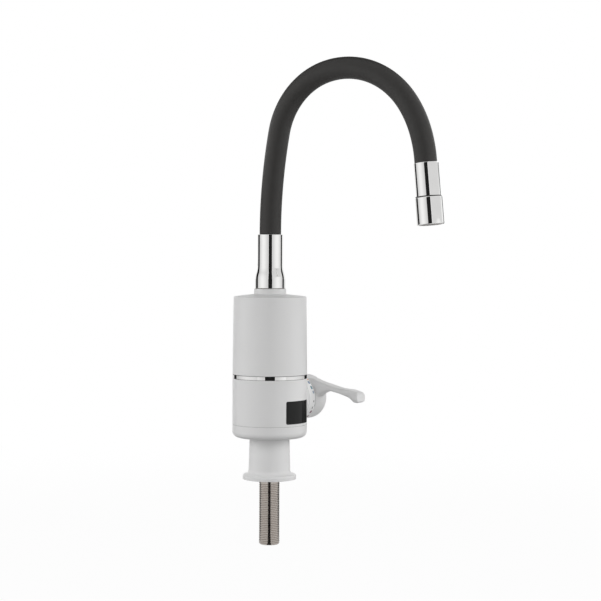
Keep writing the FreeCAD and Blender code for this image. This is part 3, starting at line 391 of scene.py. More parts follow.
def upper_runs():
    """The arcs after the crown, as (radius, turn)."""
    below = lower_runs()
    cut = len(below) - 1
    rest_of_cut_arc = (arc_radii[cut], arc_turns[cut] - below[cut][1])
    return [rest_of_cut_arc] + list(zip(arc_radii[cut + 1:], arc_turns[cut + 1:]))


print("runs below the crown", lower_runs(), "and above it", upper_runs())

# %% [markdown]
# ## Drawing a tube along the line
# A hose is the same ring at every point of its line. A curve with a round bevel would be quick, but a
# ring that is spun about the centre of one arc after another stays square to the line and keeps even
# steps. A Solidify modifier then gives the tube its wall, inwards, so that the outside keeps its size.

# %% Tube helpers
ring_spacing = 0.0025
doubles_share = 0.01
hose_sides = 64
soft_edge = math.radians(40)


def applied(obj, kind, settings):
    """Adds one modifier with its settings and applies it."""
    added = obj.modifiers.new(kind.lower(), kind)
    for setting, value in settings.items():
        setattr(added, setting, value)
    bpy.context.view_layer.objects.active = obj
    bpy.ops.object.modifier_apply(modifier=added.name)


def smooth_shaded(obj, angle=soft_edge):
    """Shades one object smooth, apart from its edges that are sharper than the angle."""
    bpy.ops.object.select_all(action="DESELECT")
    obj.select_set(True)
    bpy.context.view_layer.objects.active = obj
    bpy.ops.object.shade_smooth_by_angle(angle=angle)


def new_ring(name, radius, place, heading):
    """A ring of points square to the line, alone in edit mode and all selected."""
    bpy.ops.object.select_all(action="DESELECT")
    bpy.ops.mesh.primitive_circle_add(vertices=hose_sides, radius=radius, location=place,
                                      rotation=(math.radians(heading), 0, 0))
    bpy.ops.object.transform_apply(location=True, rotation=True, scale=True)
    ring = bpy.context.object
    ring.name = name
    bpy.ops.object.mode_set(mode="EDIT")
    bpy.ops.mesh.select_all(action="SELECT")
    return ring


def run_straight(place, heading, length):
    """Extrudes the selected ring along its heading, in even steps."""
    steps = math.ceil(length / ring_spacing)
    move = heading_vector(heading) * length / steps
    for step in range(steps):
        bpy.ops.mesh.extrude_region_move(TRANSFORM_OT_translate={"value": move})
    return place + heading_vector(heading) * length


def run_round(place, heading, radius, turn):
    """Spins the selected ring about the arc's centre."""
    centre = place - outward_vector(heading) * radius
    steps = math.ceil(radius * math.radians(turn) / ring_spacing)
    bpy.ops.mesh.spin(steps=steps, angle=-math.radians(turn), center=centre, axis=(1, 0, 0))
    return centre + outward_vector(heading + turn) * radius, heading + turn


def close_tube(tube, wall):
    """Merges the rings, turns the faces outwards and gives the wall its thickness inwards."""
    bpy.ops.mesh.select_all(action="SELECT")
    bpy.ops.mesh.remove_doubles(threshold=ring_spacing * doubles_share)
    bpy.ops.mesh.normals_make_consistent(inside=False)
    bpy.ops.object.mode_set(mode="OBJECT")
    applied(tube, "SOLIDIFY", {"thickness": wall, "offset": -1.0})
    smooth_shaded(tube)


print("tubes have a ring every", ring_spacing, "m")

# %% [markdown]
# ## The three tubes of the spout
# Skin, core and water tube share the line and differ in radius and wall. Each is made in two halves that meet at
# the crown.

# %% Tubes of the spout
joint_places = {joint["name"]: Vector(joint.get("pos_m", (0, 0, 0))) for joint in frame["joints"]}
hose_radius = 0.01094
hose_wall = 0.00215
core_radius = 0.0087
core_wall = 0.0014
liner_radius = 0.0072
liner_wall = 0.0019


def spout_tube(name, node, slot, radius, wall):
    """Both halves of one tube, parted at the crown."""
    place = Vector((0, 0, route_start))
    lower = new_ring(name + "_lower", radius, place, 0.0)
    place = run_straight(place, 0.0, sleeve_top - route_start)
    heading = 0.0
    for arc_radius, turn in lower_runs():
        place, heading = run_round(place, heading, arc_radius, turn)
    close_tube(lower, wall)
    crown = place.copy()
    upper = new_ring(name + "_upper", radius, crown, heading)
    for arc_radius, turn in upper_runs():
        place, heading = run_round(place, heading, arc_radius, turn)
    place = run_straight(place, heading, tip_run + run_in_nozzle)
    close_tube(upper, wall)
    for half in (lower, upper):
        half.data.materials.append(finishes[slot].material)
        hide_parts(node)
    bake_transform(lower)
    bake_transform(upper)
    print(name, "crown", [round(part, 4) for part in crown], "end", [round(part, 4) for part in place])


spout_tube("silicone_skin", "hose_sleeve", "dark_silicone", hose_radius, hose_wall)
spout_tube("flexible_core", "hose_core", "screw_steel", core_radius, core_wall)
spout_tube("water_tube", "hose_liner", "clear_hose", liner_radius, liner_wall)

# %% [markdown]
# ## Turned pieces
# A ring, a washer or a bush is a profile turned about an axis. It could be cut out of cylinders, but a
# profile is easier to read: one point is pulled from corner to corner, the outline is closed, and a
# spin carries it round. A fine bevel then takes the sharpness off its edges.

# %% Turning helpers
turn_steps = 160
start_size = 0.001
merge_share = 0.1
bevel_segments = 2


def first_point(name, place):
    """A single point in edit mode: a plane, merged at its middle."""
    bpy.ops.object.select_all(action="DESELECT")
    bpy.ops.mesh.primitive_plane_add(size=start_size, location=place)
    bpy.ops.object.transform_apply(location=True, rotation=True, scale=True)
    made = bpy.context.object
    made.name = name
    bpy.ops.object.mode_set(mode="EDIT")
    bpy.ops.mesh.select_mode(type="VERT")
    bpy.ops.mesh.select_all(action="SELECT")
    bpy.ops.mesh.merge(type="CENTER")
    return made


def draw_line(name, corners):
    """Pulls one point from corner to corner."""
    made = first_point(name, corners[0])
    for before, after in zip(corners, corners[1:]):
        bpy.ops.mesh.extrude_region_move(TRANSFORM_OT_translate={"value": after - before})
    return made


def spin_outline(steps, angle, centre, axis):
    """Closes the line that was drawn, spins it and selects what it made."""
    bpy.ops.mesh.select_all(action="SELECT")
    bpy.ops.mesh.edge_face_add()
    bpy.ops.mesh.delete(type="ONLY_FACE")
    bpy.ops.mesh.select_all(action="SELECT")
    bpy.ops.mesh.spin(steps=steps, angle=angle, center=centre, axis=axis)
    bpy.ops.mesh.select_all(action="SELECT")


def turned_piece(name, profile, edge):
    """Turns a closed profile of (radius, level) corners about the upright axis."""
    made = draw_line(name, [Vector((radius, 0.0, level)) for radius, level in profile])
    spin_outline(turn_steps, math.tau, (0, 0, 0), (0, 0, 1))
    bpy.ops.mesh.remove_doubles(threshold=edge * merge_share)
    bpy.ops.mesh.normals_make_consistent(inside=False)
    bpy.ops.object.mode_set(mode="OBJECT")
    applied(made, "BEVEL", {"width": edge, "segments": bevel_segments, "angle_limit": soft_edge})
    smooth_shaded(made)
    applied(made, "WEIGHTED_NORMAL", {"keep_sharp": True})
    return made


def finish_piece(piece, slot, body, *nodes):
    """Gives a piece its finish and its body, and hides the nodes that it stands for."""
    piece.data.materials.clear()
    piece.data.materials.append(finishes[slot].material)
    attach(piece, body)
    if nodes:
        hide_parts(*nodes)
    print(piece.name, len(piece.data.polygons), "faces on", body)


print("turning with", turn_steps, "steps")

# %% [markdown]
# ## Trim band and its seal
# The bright band between the casings is a strip of chrome pressed over a black seal, and the seal shows as a
# hairline above and below it. The gaps there are real, and the seal's black is painted shade in them, so that they
# stay dark from every side.

# %% Band and seal
hairline = 0.0003
band_thickness = 0.0005
seal_width = 0.0025
fine_edge = 0.00008
ring_low, ring_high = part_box("trim_ring")
band_radius = ring_high.x
seal_radius = band_radius - band_thickness


def flat_ring(name, outer, width, bottom, top, edge):
    """A ring of square section about the upright axis."""
    inner = outer - width
    return turned_piece(name, [(inner, bottom), (outer, bottom), (outer, top), (inner, top)], edge)


band_bottom = ring_low.z + hairline
band_top = ring_high.z - hairline
band = flat_ring("trim_band", band_radius, band_thickness, band_bottom, band_top, fine_edge)
finish_piece(band, "bright_chrome", "tap_body", "trim_ring")
# painted shade: a black seal behind the band, so that the real gaps above and below it stay dark
seal = flat_ring("case_shade_seal", seal_radius, seal_width, ring_low.z, ring_high.z, fine_edge)
finish_piece(seal, "black_plastic", "tap_body", "trim_ring")

# %% [markdown]
# ## Washers and the seam
# The joint under the chrome sleeve and the groove over the spray cup are closed by thin black washers, which paint
# shade into these gaps, like the seal. The cup's washer is turned upright like the rest and then carried to the
# nozzle, whose axis leans a little. A thin dark gasket paints the shade of the seam above the bottom cap. It is
# sunk a little, so that it shows as a line and not as a rib.

# %% Washers and seam
washer_gap = 0.00004
washer_width = 0.0022
washer_inset = 0.001
nozzle_length = 0.0326
spray_gap = 0.0006
cup_radius = 0.0132
cup_washer_inset = 0.0005
seam_level = 0.056
seam_depth = 0.00014

sleeve_low, sleeve_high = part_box("base_sleeve")
washer_radius = sleeve_high.x - washer_inset
washer_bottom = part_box("upper_housing")[1].z + washer_gap
washer_top = sleeve_low.z - washer_gap
# painted shade: a black washer in the gap under the chrome sleeve
washer = flat_ring("swivel_shade_washer", washer_radius, washer_width, washer_bottom, washer_top, washer_gap)
finish_piece(washer, "black_plastic", "tap_body")

cup_washer_radius = cup_radius - cup_washer_inset
groove_bottom = nozzle_length + washer_gap
groove_top = nozzle_length + spray_gap - washer_gap
# painted shade: a black washer in the groove over the spray cup
cup_shade_washer = flat_ring("cup_shade_washer", cup_washer_radius, washer_width, groove_bottom, groove_top, washer_gap)
cup_shade_washer.location = joint_places["spray_twist"]
cup_shade_washer.rotation_euler = (math.radians(sum(arc_turns)), 0, 0)
bpy.ops.object.transform_apply(location=True, rotation=True, scale=True)
finish_piece(cup_shade_washer, "black_plastic", "spray_head")

seam_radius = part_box("bottom_cap")[1].x - seam_depth
seam_bottom = seam_level - hairline / 2
seam_top = seam_level + hairline / 2
# painted shade: a dark grey gasket that darkens the seam above the bottom cap
seam = flat_ring("seam_shade_gasket", seam_radius, seal_width, seam_bottom, seam_top, fine_edge)
finish_piece(seam, "grey_rubber", "tap_body")

# %% [markdown]
# ## The lever's arm
# The lever is one moulding: a round hub, and an arm that fans out of the hub's front, thins to a neck
# and thickens again to a paddle. The arm could be sculpted, but its side view says almost everything,
# so a rounded section is pulled from the paddle's end to the hub and resized at every step.

# %% Lever arm
knob = joint_places["lever_turn"]
lever_low, lever_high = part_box("lever_handle")
arm_width = 0.017
arm_corner = 0.0036
arm_end_round = 0.0012
groove = 0.0006
corner_segments = 6
end_segments = 4
end_on = 0.9
arm_middle = lever_low.x + groove + arm_width / 2

# distance in front of the knob's axis, underside and top above that axis
arm_sections = (
    (0.0724, -0.0020, 0.0066),
    (0.0700, -0.0029, 0.0082),
    (0.0665, -0.0025, 0.0091),
    (0.0640, -0.0004, 0.0096),
    (0.0620, 0.0014, 0.0102),
    (0.0585, 0.0029, 0.0104),
    (0.0495, 0.0057, 0.0110),
    (0.0390, 0.0079, 0.0134),
    (0.0326, 0.0070, 0.0152),
    (0.0280, 0.0050, 0.0162),
    (0.0230, 0.0014, 0.0178),
    (0.0185, -0.0014, 0.0195),
    (0.0120, -0.0050, 0.0208),
    (0.0050, -0.0080, 0.0214),
)


def arm_spot(section):
    """The middle of one cross-section of the arm."""
    front, underside, top = section
    return Vector((arm_middle, -front, knob.z + (underside + top) / 2))


def section_height(section):
    return section[2] - section[1]


def select_faces(obj, wanted):
    """In edit mode, selects the faces that a test on place and normal picks."""
    bpy.ops.object.mode_set(mode="EDIT")
    bpy.ops.mesh.select_mode(type="FACE")
    bpy.ops.mesh.select_all(action="DESELECT")
    bpy.ops.object.mode_set(mode="OBJECT")
    for face in obj.data.polygons:
        face.select = wanted(face.center, face.normal)
    bpy.ops.object.mode_set(mode="EDIT")


def model_arm():
    """A rounded section at the paddle's end, pulled back to the hub from section to section."""
    paddle = arm_sections[0]
    bpy.ops.object.select_all(action="DESELECT")
    bpy.ops.mesh.primitive_plane_add(size=1.0, location=arm_spot(paddle), rotation=(math.pi / 2, 0, 0))
    made = bpy.context.object
    made.scale = (arm_width, section_height(paddle), 1.0)
    bpy.ops.object.transform_apply(location=True, rotation=True, scale=True)
    bpy.ops.object.mode_set(mode="EDIT")
    bpy.ops.mesh.select_all(action="SELECT")
    bpy.ops.mesh.bevel(offset=arm_corner, segments=corner_segments, affect="VERTICES")
    bpy.ops.mesh.select_all(action="SELECT")
    for before, after in zip(arm_sections, arm_sections[1:]):
        move = arm_spot(after) - arm_spot(before)
        bpy.ops.mesh.extrude_region_move(TRANSFORM_OT_translate={"value": move})
        share = section_height(after) / section_height(before)
        bpy.ops.transform.resize(value=(1.0, 1.0, share), center_override=arm_spot(after))
    bpy.ops.mesh.select_all(action="SELECT")
    bpy.ops.mesh.normals_make_consistent(inside=False)
    tip = -paddle[0] + arm_end_round
    select_faces(made, lambda place, normal: normal.y < -end_on and place.y < tip)
    bpy.ops.mesh.bevel(offset=arm_end_round, segments=end_segments, affect="EDGES")
    bpy.ops.object.mode_set(mode="OBJECT")
    return made


arm = model_arm()
print("arm:", len(arm.data.polygons), "faces")

# %% [markdown]
# ## Hub and arm under one skin
# Two solids that are only joined would meet in a hard corner all round. So hub and arm are joined
# first, and then given one even skin that is smoothed until the corner becomes a soft hollow.

# %% Lever hub and skin
rod_sides = 128
hub_edge = 0.0024
skin_size = 0.0005
skin_softness = 0.5
skin_smoothing = 10
hub_start = lever_low.x + groove
hub_end = lever_high.x
hub_radius = lever_high.y


def rod(name, radius, length, middle, turn, sides=rod_sides):
    """A solid rod, a start for hubs, hollows and cutters."""
    bpy.ops.object.select_all(action="DESELECT")
    bpy.ops.mesh.primitive_cylinder_add(vertices=sides, radius=radius, depth=length, location=middle,
                                        rotation=turn)
    bpy.ops.object.transform_apply(location=True, rotation=True, scale=True)
    bpy.context.object.name = name
    return bpy.context.object


def knob_rod(name, radius, start, end):
    """A rod on the knob's axis."""
    return rod(name, radius, end - start, ((start + end) / 2, 0.0, knob.z), (0, math.pi / 2, 0))


def combine(body, operation, tool):
    """Joins a helper solid to a body or cuts it out, and removes the helper."""
    applied(body, "BOOLEAN", {"operation": operation, "object": tool, "solver": "EXACT"})
    bpy.data.objects.remove(tool, do_unlink=True)


lever = knob_rod("lever_moulding", hub_radius, hub_start, hub_end)
select_faces(lever, lambda place, normal: normal.x > end_on)
bpy.ops.mesh.bevel(offset=hub_edge, segments=corner_segments, affect="EDGES")
bpy.ops.object.mode_set(mode="OBJECT")
combine(lever, "UNION", arm)
applied(lever, "REMESH", {"mode": "VOXEL", "voxel_size": skin_size})
applied(lever, "SMOOTH", {"factor": skin_softness, "iterations": skin_smoothing})
print("lever skin:", len(lever.data.polygons), "faces")

# %% [markdown]
# ## The lever's bores
# Behind its face the hub is hollow, with a socket for the spindle, a bore for the screw and a recess
# for the cap. They are cut last, because the smoothing would have rounded them, and all of them as one
# solid, because one clean cut is safer than five.

# %% Lever bores
hub_wall = 0.0028
hub_end_wall = 0.0055
hub_socket_radius = 0.0085
hub_socket_inset = 0.0015
screw_head_height = 0.002
screw_radius = 0.002
spindle_radius = 0.0045
bore_play = 0.0001

hollow = knob_rod("hollow", hub_radius - hub_wall, hub_start - hub_edge, hub_end - hub_end_wall)
combine(hollow, "DIFFERENCE", knob_rod("socket", hub_socket_radius, hub_start + hub_socket_inset, hub_end))
cap_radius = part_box("lever_cap")[1].y + bore_play
cap_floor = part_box("lever_screw")[1].x - screw_head_height
spindle_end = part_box("valve_spindle")[1].x + bore_play

# name, radius, start and end along the knob's axis
for name, radius, start, end in (
    ("spindle_bore", spindle_radius + bore_play, hub_start, spindle_end),
    ("screw_bore", screw_radius + bore_play, hub_start, hub_end),
    ("cap_recess", cap_radius, cap_floor, hub_end + hub_edge),
):
    combine(hollow, "UNION", knob_rod(name, radius, start, end))
combine(lever, "DIFFERENCE", hollow)
smooth_shaded(lever)
finish_piece(lever, "white_plastic", "lever", "lever_handle")

# %% [markdown]
# ## Marks on the dial
# The ring beside the lever is printed with cold marks, hot marks and two dots between them. A grey line along its
# edge is painted shade: it stands for the shadow in the seam between the dial and the hub, and is made like the
# print. Print is a film of ink. Painting it in the finish would blur up close, so each mark is a thin curved
# strip: its small outline is spun about the knob's axis, half sunk in the ring and half proud of it.

# %% Dial marks
ink_sunk = 0.00005
ink_proud = 0.00008
ink_smooth = 0.35
ink_rough = 0.45
ink_grain = 0.0008
ink_grain_depth = 0.000003
mark_steps = 24
mark_width = 0.0026
dot_width = 0.0012
dot_inner = 0.0469
shade_line_width = 0.0006
dot_grey = grey(0.08)
# painted shade: the grey of the line along the dial's edge
shade_line_grey = grey(0.20)
closed_orange = (0.72, 0.36, 0.24, 1.0)
deep_blue = (0.07, 0.16, 0.30, 1.0)
sea_blue = (0.10, 0.24, 0.30, 1.0)
pale_blue = (0.30, 0.36, 0.44, 1.0)
hot_red = (0.14, 0.02, 0.06, 1.0)
dial_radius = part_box("dial_ring")[1].y


def dial_mark(name, angles, inner, width, colour):
    """A strip on the dial between two angles above the front, from an inner edge along the knob."""
    start = math.radians(angles[0])
    out = Vector((0.0, -math.cos(start), math.sin(start)))
    outer = inner + width
    sunk = dial_radius - ink_sunk
    proud = dial_radius + ink_proud
    corners = [Vector((along, 0.0, knob.z)) + out * radius
               for along, radius in ((inner, sunk), (outer, sunk), (outer, proud), (inner, proud))]
    mark = draw_line(name, corners)
    spin_outline(mark_steps, math.radians(angles[1] - angles[0]), (0.0, 0.0, knob.z), (1, 0, 0))
    bpy.ops.mesh.fill_holes(sides=len(corners))
    bpy.ops.mesh.normals_make_consistent(inside=False)
    bpy.ops.object.mode_set(mode="OBJECT")
    smooth_shaded(mark)
    finish_piece(mark, "white_plastic", "tap_body")
    ink = moulded(name + "_ink", colour, colour, ink_smooth, ink_rough, ink_grain, ink_grain_depth)
    mark.data.materials[0] = ink.material


# name, angles in degrees, inner edge, width, colour
for row in (
    ("closed_mark", (52.0, 59.0), 0.0494, mark_width, closed_orange),
    ("cold_mark_low", (40.0, 47.5), 0.0467, mark_width, deep_blue),
    ("cold_mark_middle", (24.5, 33.0), 0.0459, mark_width, sea_blue),
    ("cold_mark_high", (13.0, 20.0), 0.0465, mark_width, pale_blue),
    ("upper_dot", (-9.0, -4.0), dot_inner, dot_width, dot_grey),
    ("lower_dot", (-26.0, -21.0), dot_inner, dot_width, dot_grey),
    ("hot_mark_low", (-40.0, -32.0), 0.0473, mark_width, hot_red),
    ("hot_mark_high", (-57.5, -49.5), 0.0490, mark_width, hot_red),
    # painted shade: a grey strip where the seam between the dial and the hub lies in shadow
    ("shade_line", (-22.0, 48.0), 0.0502, shade_line_width, shade_line_grey),
):
    dial_mark(*row)

# %% [markdown]
# ## The shank's thread
# The shank under the flange carries a pipe thread: one groove that climbs by a pitch at every turn.
# Rings would look alike from far away, but they give themselves away at the thread's ends. So the
# outline of one pitch is carried up a screw line, cut level at both ends and trimmed by a chamfered rod.

# %% Thread
thread_pitch = 0.001814
thread_depth = 0.0007
thread_crest = 0.00085
flank_angle = math.radians(27.5)
thread_flank = thread_depth * math.tan(flank_angle)
thread_radius = 0.0104775
root_radius = thread_radius - thread_depth
thread_steps = 72
spare_turns = 2
shank_land = 0.0035
shank_chamfer = 0.0012
head_height = 0.006
trim_margin = 0.00003
cut_margin = 0.000001
overlap = 0.0003
shank_low, shank_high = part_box("threaded_shank")


def upright_rod(name, radius, bottom, top, sides=rod_sides, turn=0.0):
    """A rod about the upright axis."""
    return rod(name, radius, top - bottom, (0.0, 0.0, (bottom + top) / 2), (0, 0, turn), sides)


def cut_level(level, keeps_below):
    """In edit mode, cuts everything at a level, keeps one side and closes the cut."""
    bpy.ops.mesh.select_all(action="SELECT")
    bpy.ops.mesh.bisect(plane_co=(0, 0, level), plane_no=(0, 0, 1), use_fill=True, threshold=cut_margin,
                        clear_outer=keeps_below, clear_inner=not keeps_below)


foot = shank_low.z - spare_turns * thread_pitch
rises = ((thread_radius, 0.0), (thread_radius, thread_crest), (root_radius, thread_crest + thread_flank),
         (root_radius, thread_pitch - thread_flank), (thread_radius, thread_pitch))
shank = draw_line("threaded_stem", [Vector((radius, 0.0, foot + rise)) for radius, rise in rises])
bpy.ops.object.mode_set(mode="OBJECT")
thread_turns = math.ceil((head_height - shank_low.z) / thread_pitch) + spare_turns
applied(shank, "SCREW", {"axis": "Z", "angle": math.tau, "screw_offset": thread_pitch,
                         "iterations": thread_turns, "steps": thread_steps})
bpy.ops.object.mode_set(mode="EDIT")
bpy.ops.mesh.select_all(action="SELECT")
bpy.ops.mesh.remove_doubles(threshold=trim_margin / 2)
cut_level(shank_low.z - overlap, keeps_below=False)
cut_level(-shank_land, keeps_below=True)
bpy.ops.mesh.select_all(action="SELECT")
bpy.ops.mesh.normals_make_consistent(inside=False)
bpy.ops.object.mode_set(mode="OBJECT")
trim = upright_rod("trim", thread_radius + trim_margin, shank_low.z, 0.0)
select_faces(trim, lambda place, normal: normal.z < -end_on)
bpy.ops.mesh.bevel(offset=shank_chamfer, segments=1, affect="EDGES")
bpy.ops.object.mode_set(mode="OBJECT")
combine(shank, "INTERSECT", trim)
print("thread:", thread_turns, "turns,", len(shank.data.polygons), "faces")

# %% [markdown]
# ## The rest of the shank
# Above the thread follow a plain land, a neck through the pedestal and a hexagon head that keeps the
# shank from turning. They could be pieces of their own, but on the real shank they are one bar of steel,
# so they are joined on, and the water's bore goes through all of them.

# %% Land, neck, head and bore
neck_radius = 0.0100
bore_radius = 0.0065
head_sides = 6
thread_edge = math.radians(30)
head_bottom = shank_high.z - head_height

# name, radius, bottom and top
for name, radius, bottom, top in (
    ("land", thread_radius - trim_margin, -shank_land - overlap, 0.0),
    ("neck", neck_radius, -shank_land, head_bottom + overlap),
):
    combine(shank, "UNION", upright_rod(name, radius, bottom, top))
head = upright_rod("head", shank_high.x, head_bottom, shank_high.z, head_sides, math.pi / head_sides)
combine(shank, "UNION", head)
bore = upright_rod("bore", bore_radius, shank_low.z - overlap, shank_high.z + overlap)
combine(shank, "DIFFERENCE", bore)
smooth_shaded(shank, thread_edge)
finish_piece(shank, "thread_steel", "tap_body", "threaded_shank")

# %% [markdown]
# ## The white room
# The tap stands in a white room. The room is plain white for the camera and for anything that mirrors
# it, and a touch dimmer as a light. One strength for both would be simpler, but then the background
# would turn grey as soon as the light is turned down, so the kind of ray decides.

# %% Room
room_light = 0.98
white = (1.0, 1.0, 1.0, 1.0)


class Wiring:
    """The part of a finish that a world needs too: nodes, and links between them."""

    def __init__(self, tree):
        self.tree = tree

    node = Finish.node
    feed = Finish.feed

    def seen(self, mirrored=1.0):
        """1 for rays from the camera, and that share for rays from a mirror or glass."""
        kinds = [self.node("ShaderNodeLightPath", {}, {}, kind)
                 for kind in ("Is Camera Ray", "Is Glossy Ray", "Is Transmission Ray")]
        return kinds[0] + mirrored * (kinds[1] + kinds[2])

    def shine(self, kind, strength):
        return self.node(kind, {}, {"Color": white, "Strength": strength})

    def show(self, output, share, first, second):
        """Mixes two shaders into the output node."""
        mixed = self.node("ShaderNodeMixShader", {}, {0: share, 1: first, 2: second})
        self.feed(self.tree.nodes[output].inputs["Surface"], mixed)


world = bpy.data.worlds.new("studio")
bpy.context.scene.world = world
world.use_nodes = True
room = Wiring(world.node_tree)
dim = room.shine("ShaderNodeBackground", room_light)
bright = room.shine("ShaderNodeBackground", 1.0)
room.show("World Output", room.seen(), dim, bright)
print("room light", room_light)

# %% [markdown]
# ## The table
# The table under the tap is pale and matt. A curved backdrop would hide the horizon too, but a flat
# table that clears to plain white away from the tap needs no fitting. Near the shank it keeps a trace
# of shade.

# %% Table
table_size = 40.0
table_gap = 0.0001
table_glow = 0.97
table_mirrored = 0.55
table_cloud = 0.02
table_tones = (0.40, 0.42)
matt = 0.9
clear_from = 0.25
clear_to = 0.9

bpy.ops.object.select_all(action="DESELECT")
bpy.ops.mesh.primitive_plane_add(size=table_size, location=(0, 0, cad_box[0][2] - table_gap))
table = bpy.context.object
table.name = "table"
laminate = Finish("pale_table", {"Roughness": matt})
table_dark, table_light = [grey(tone) for tone in table_tones]
laminate.varies({"Base Color": laminate.mix(laminate.noise(table_cloud), table_dark, table_light)})
table.data.materials.append(laminate.material)

glow = Wiring(laminate.tree)
cleared = laminate.fade(laminate.place, clear_from, clear_to, table_glow, 1.0)
plain_shader = Signal(laminate, laminate.shader.outputs[0])
glow.show("Material Output", glow.seen(table_mirrored) * cleared, plain_shader,
          glow.shine("ShaderNodeEmission", 1.0))
print("table at", round(table.location.z, 4))

# %% [markdown]
# ## Lamps
# Two large lamps light the tap from the sides, and a narrow one reaches the lever, which stands in the
# casing's shade. One strong lamp in front would be simpler, but it would flatten the round casing.
# All of them stay out of the mirrors, where they would show as hard bright shapes.

# %% Lamps
eye_level = 0.2
lamp_angle = 75.0
lamp_distance = 1.6
lamp_height = 0.5
lamp_size = 1.4
left_watts = 11.1
right_watts = 12.5
snoot_distance = 1.5
snoot_angle = math.radians(3.6)
snoot_watts = 10.0
lever_spot = Vector((0.052, -0.034, knob.z))


def round_the_tap(angle, distance, height):
    """A point at that angle from the camera's side, in degrees, positive to the picture's right."""
    turn = math.radians(angle)
    way = camera_side * math.cos(turn) + picture_right * math.sin(turn)
    return way * distance + Vector((0, 0, height))


def look_at(obj, target):
    """Turns an object's front, its -Z side, to a point."""
    obj.rotation_euler = (target - obj.location).to_track_quat("-Z", "Y").to_euler()


def hide_from(obj, *rays):
    """Hides an object from these kinds of rays."""
    for kind in rays:
        setattr(obj, "visible_" + kind, False)


def lamp(name, kind, watts, place, target, settings):
    """A lamp at a place that looks at a target."""
    data = bpy.data.lights.new(name, kind)
    data.energy = watts
    for setting, value in settings.items():
        setattr(data, setting, value)
    made = bpy.data.objects.new(name, data)
    bpy.context.scene.collection.objects.link(made)
    made.location = place
    look_at(made, target)
    hide_from(made, "glossy")
    print(name, watts, "W")


for name, angle, watts in (("lamp_left", -lamp_angle, left_watts), ("lamp_right", lamp_angle, right_watts)):
    lamp(name, "AREA", watts, round_the_tap(angle, lamp_distance, lamp_height), Vector((0, 0, eye_level)),
         {"shape": "SQUARE", "size": lamp_size})
lamp("lamp_lever", "SPOT", snoot_watts, lever_spot + camera_side * snoot_distance, lever_spot,
     {"spot_size": snoot_angle, "spot_blend": 1.0})

# %% [markdown]
# ## What the chrome sees
# Chrome shows soft boxes, brightest in the middle, and dark cards. They could be lamps that mirrors see, but then
# every change of a reflection would change the light as well. So they are panels that show in reflections only.
# Their finish glows by itself.

# %% Finishes of the boxes and cards
box_middle = 1.03
box_edge = 0.70
low_middle = 0.86
low_edge = 0.56
high_level = 0.76
hose_level = 1.5
card_glow = 0.011
card_tone = 0.008
half_panel = 0.5
both_ways = (1, 1, 0)
sideways = (1, 0, 0)


def soft_box(name, middle, edge, shares):
    """The finish of a lit panel that fades from its middle to its edge."""
    made = Finish(name, {"Roughness": matt, "Base Color": grey(0.0), "Emission Strength": 1.0})
    level = made.fade(made.stretched(shares), 0.0, half_panel, middle, edge)
    colour = made.node("ShaderNodeCombineColor", {}, {"Red": level, "Green": level, "Blue": level})
    made.varies({"Emission Color": colour})
    return made


box_finish = soft_box("soft_box", box_middle, box_edge, both_ways)
low_finish = soft_box("low_box", low_middle, low_edge, sideways)
high_finish = soft_box("high_box", high_level, high_level, sideways)
hose_finish = soft_box("hose_box", hose_level, hose_level, sideways)
card_finish = Finish("dark_card", {"Roughness": matt, "Base Color": grey(card_tone), gloss_socket: 0.0,
                                   "Emission Color": white, "Emission Strength": card_glow})
print("boxes glow up to", hose_level, "and cards", card_glow)

# %% [markdown]
# ## Soft boxes and dark cards
# A tall card in front gives the black stripe down the middle of every chrome tube, and narrow ones
# behind give the dark edges. Dimmer boxes stand low, where the trim band mirrors them, and high on the
# right, where the tilted nozzle does. A card high at the back keeps the top of the arch dark, and two
# small bright boxes beside the arch give the hose its soft edges.

# %% Soft boxes and dark cards
mirror_only = ("camera", "diffuse", "transmission", "shadow")
panel_foot = -0.06
panel_top = 1.6
card_step = 0.12
tall = (panel_foot, panel_top)
about_eye_level = (-1.2, panel_top)
low_card = (panel_foot, card_step)
low_box = (panel_foot, 0.08)
high_box = (0.42, 0.9)
beside_arch = (0.33, 0.45)
box_distance = 1.3
card_distance = 1.0
dim_distance = 1.2
near_distance = 0.35
arch_distance = 0.2


def to_stage(made, name, finish, rays):
    """Names a piece of the stage, gives it its finish and hides it from some rays."""
    made.name = name
    made.data.materials.append(finish.material)
    hide_from(made, *rays)


def panel(name, finish, angles, levels, distance):
    """An upright panel that only mirrors see, between two angles and two heights."""
    width = 2 * distance * math.tan(math.radians(angles[1] - angles[0]) / 2)
    middle = sum(levels) / 2
    bpy.ops.object.select_all(action="DESELECT")
    bpy.ops.mesh.primitive_plane_add(size=1.0, location=round_the_tap(sum(angles) / 2, distance, middle))
    made = bpy.context.object
    made.scale = (width, levels[1] - levels[0], 1.0)
    look_at(made, Vector((0, 0, middle)))
    to_stage(made, name, finish, mirror_only)
    print(name, "from", angles[0], "to", angles[1], "degrees")


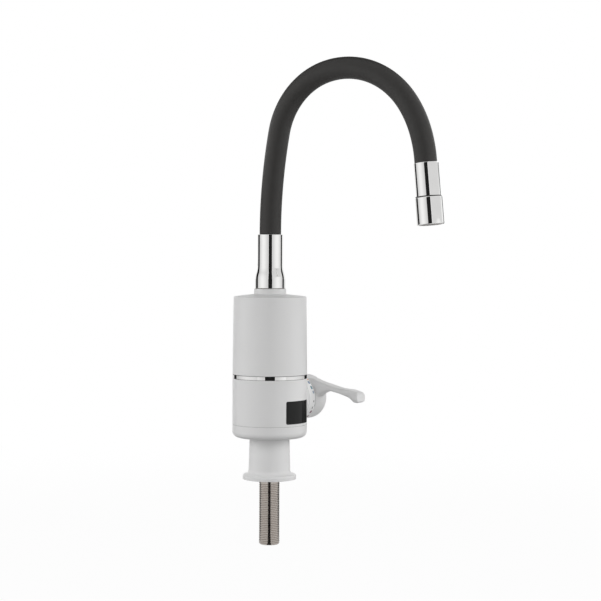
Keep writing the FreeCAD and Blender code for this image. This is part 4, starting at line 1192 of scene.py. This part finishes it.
# name, finish, angles in degrees, heights, distance from the tap
for row in (
    ("box_left", box_finish, (-106.0, -18.0), about_eye_level, box_distance),
    ("box_right", box_finish, (18.0, 106.0), about_eye_level, box_distance),
    ("card_front", card_finish, (-14.5, 15.5), tall, card_distance),
    ("card_left_high", card_finish, (-138.0, -107.0), (card_step, 1.2), card_distance),
    ("card_left_low", card_finish, (-142.0, -123.0), low_card, card_distance),
    ("card_right_high", card_finish, (106.0, 128.0), (card_step, 0.37), near_distance),
    ("card_right_low", card_finish, (133.0, 166.0), low_card, card_distance),
    ("card_back_high", card_finish, (130.0, 230.0), (0.44, panel_top), near_distance),
    ("dim_left", low_finish, (-123.0, -18.0), low_box, dim_distance),
    ("dim_right", low_finish, (18.0, 133.0), low_box, dim_distance),
    ("dim_right_high", high_finish, (16.0, 106.0), high_box, dim_distance),
    ("dim_back_high", high_finish, (106.0, 150.0), high_box, dim_distance),
    ("box_hose_left", hose_finish, (-150.0, -80.0), beside_arch, arch_distance),
    ("box_hose_right", hose_finish, (80.0, 150.0), beside_arch, arch_distance),
):
    panel(*row)

# %% [markdown]
# ## Dark wedges on the table
# The shank stands so close to the table that it mirrors little else, and on a plain table it would look
# flat. Strips would do from one height only, so dark wedges that point at the shank carry the black
# stripes on.

# %% Dark wedges on the table
wedge_length = 1.6
wedge_lift = 0.0005
wedge_level = table.location.z + wedge_lift
triangle_corners = 3
middle_share = 2 / 3
half_side = math.sin(math.pi / triangle_corners)


def wedge(name, angle, half_angle):
    """A dark triangle lying on the table, with its tip at the tap and its base at that angle."""
    bpy.ops.object.select_all(action="DESELECT")
    bpy.ops.mesh.primitive_circle_add(vertices=triangle_corners, radius=1.0, fill_type="NGON")
    made = bpy.context.object
    made.location = round_the_tap(angle, wedge_length * middle_share, wedge_level)
    width_share = wedge_length * math.tan(math.radians(half_angle)) / half_side
    made.scale = (width_share, wedge_length * middle_share, 1.0)
    inward = -round_the_tap(angle, 1.0, 0)
    made.rotation_euler = (0, 0, math.atan2(-inward.x, inward.y))
    to_stage(made, name, card_finish, mirror_only)
    print(name, "at", angle, "degrees")


# name, direction and half of the spread in degrees
for row in (
    ("wedge_front", 0.0, 14.5),
    ("wedge_left", -129.0, 13.0),
    ("wedge_right", 132.0, 14.0),
):
    wedge(*row)

# %% [markdown]
# ## A flag overhead
# Too much light from above would wash out the lever and the top of the arch. The whole room could be
# dimmed, but then the casing would turn grey too, so a dark flag hangs over the tap: it takes light away
# without showing up in any mirror.

# %% Flag overhead
flag_size = 1.4
flag_height = 0.8

bpy.ops.object.select_all(action="DESELECT")
bpy.ops.mesh.primitive_plane_add(size=flag_size, location=(0, 0, flag_height))
to_stage(bpy.context.object, "flag", card_finish, ("camera", "glossy", "transmission"))
print("flag", flag_size, "m wide at", flag_height, "m")

# %% [markdown]
# ## Size
# The dressed tap has to stay as large as the real one, so the box of the plain model is printed.

# %% Print the plain box
print("plain box", cad_box)
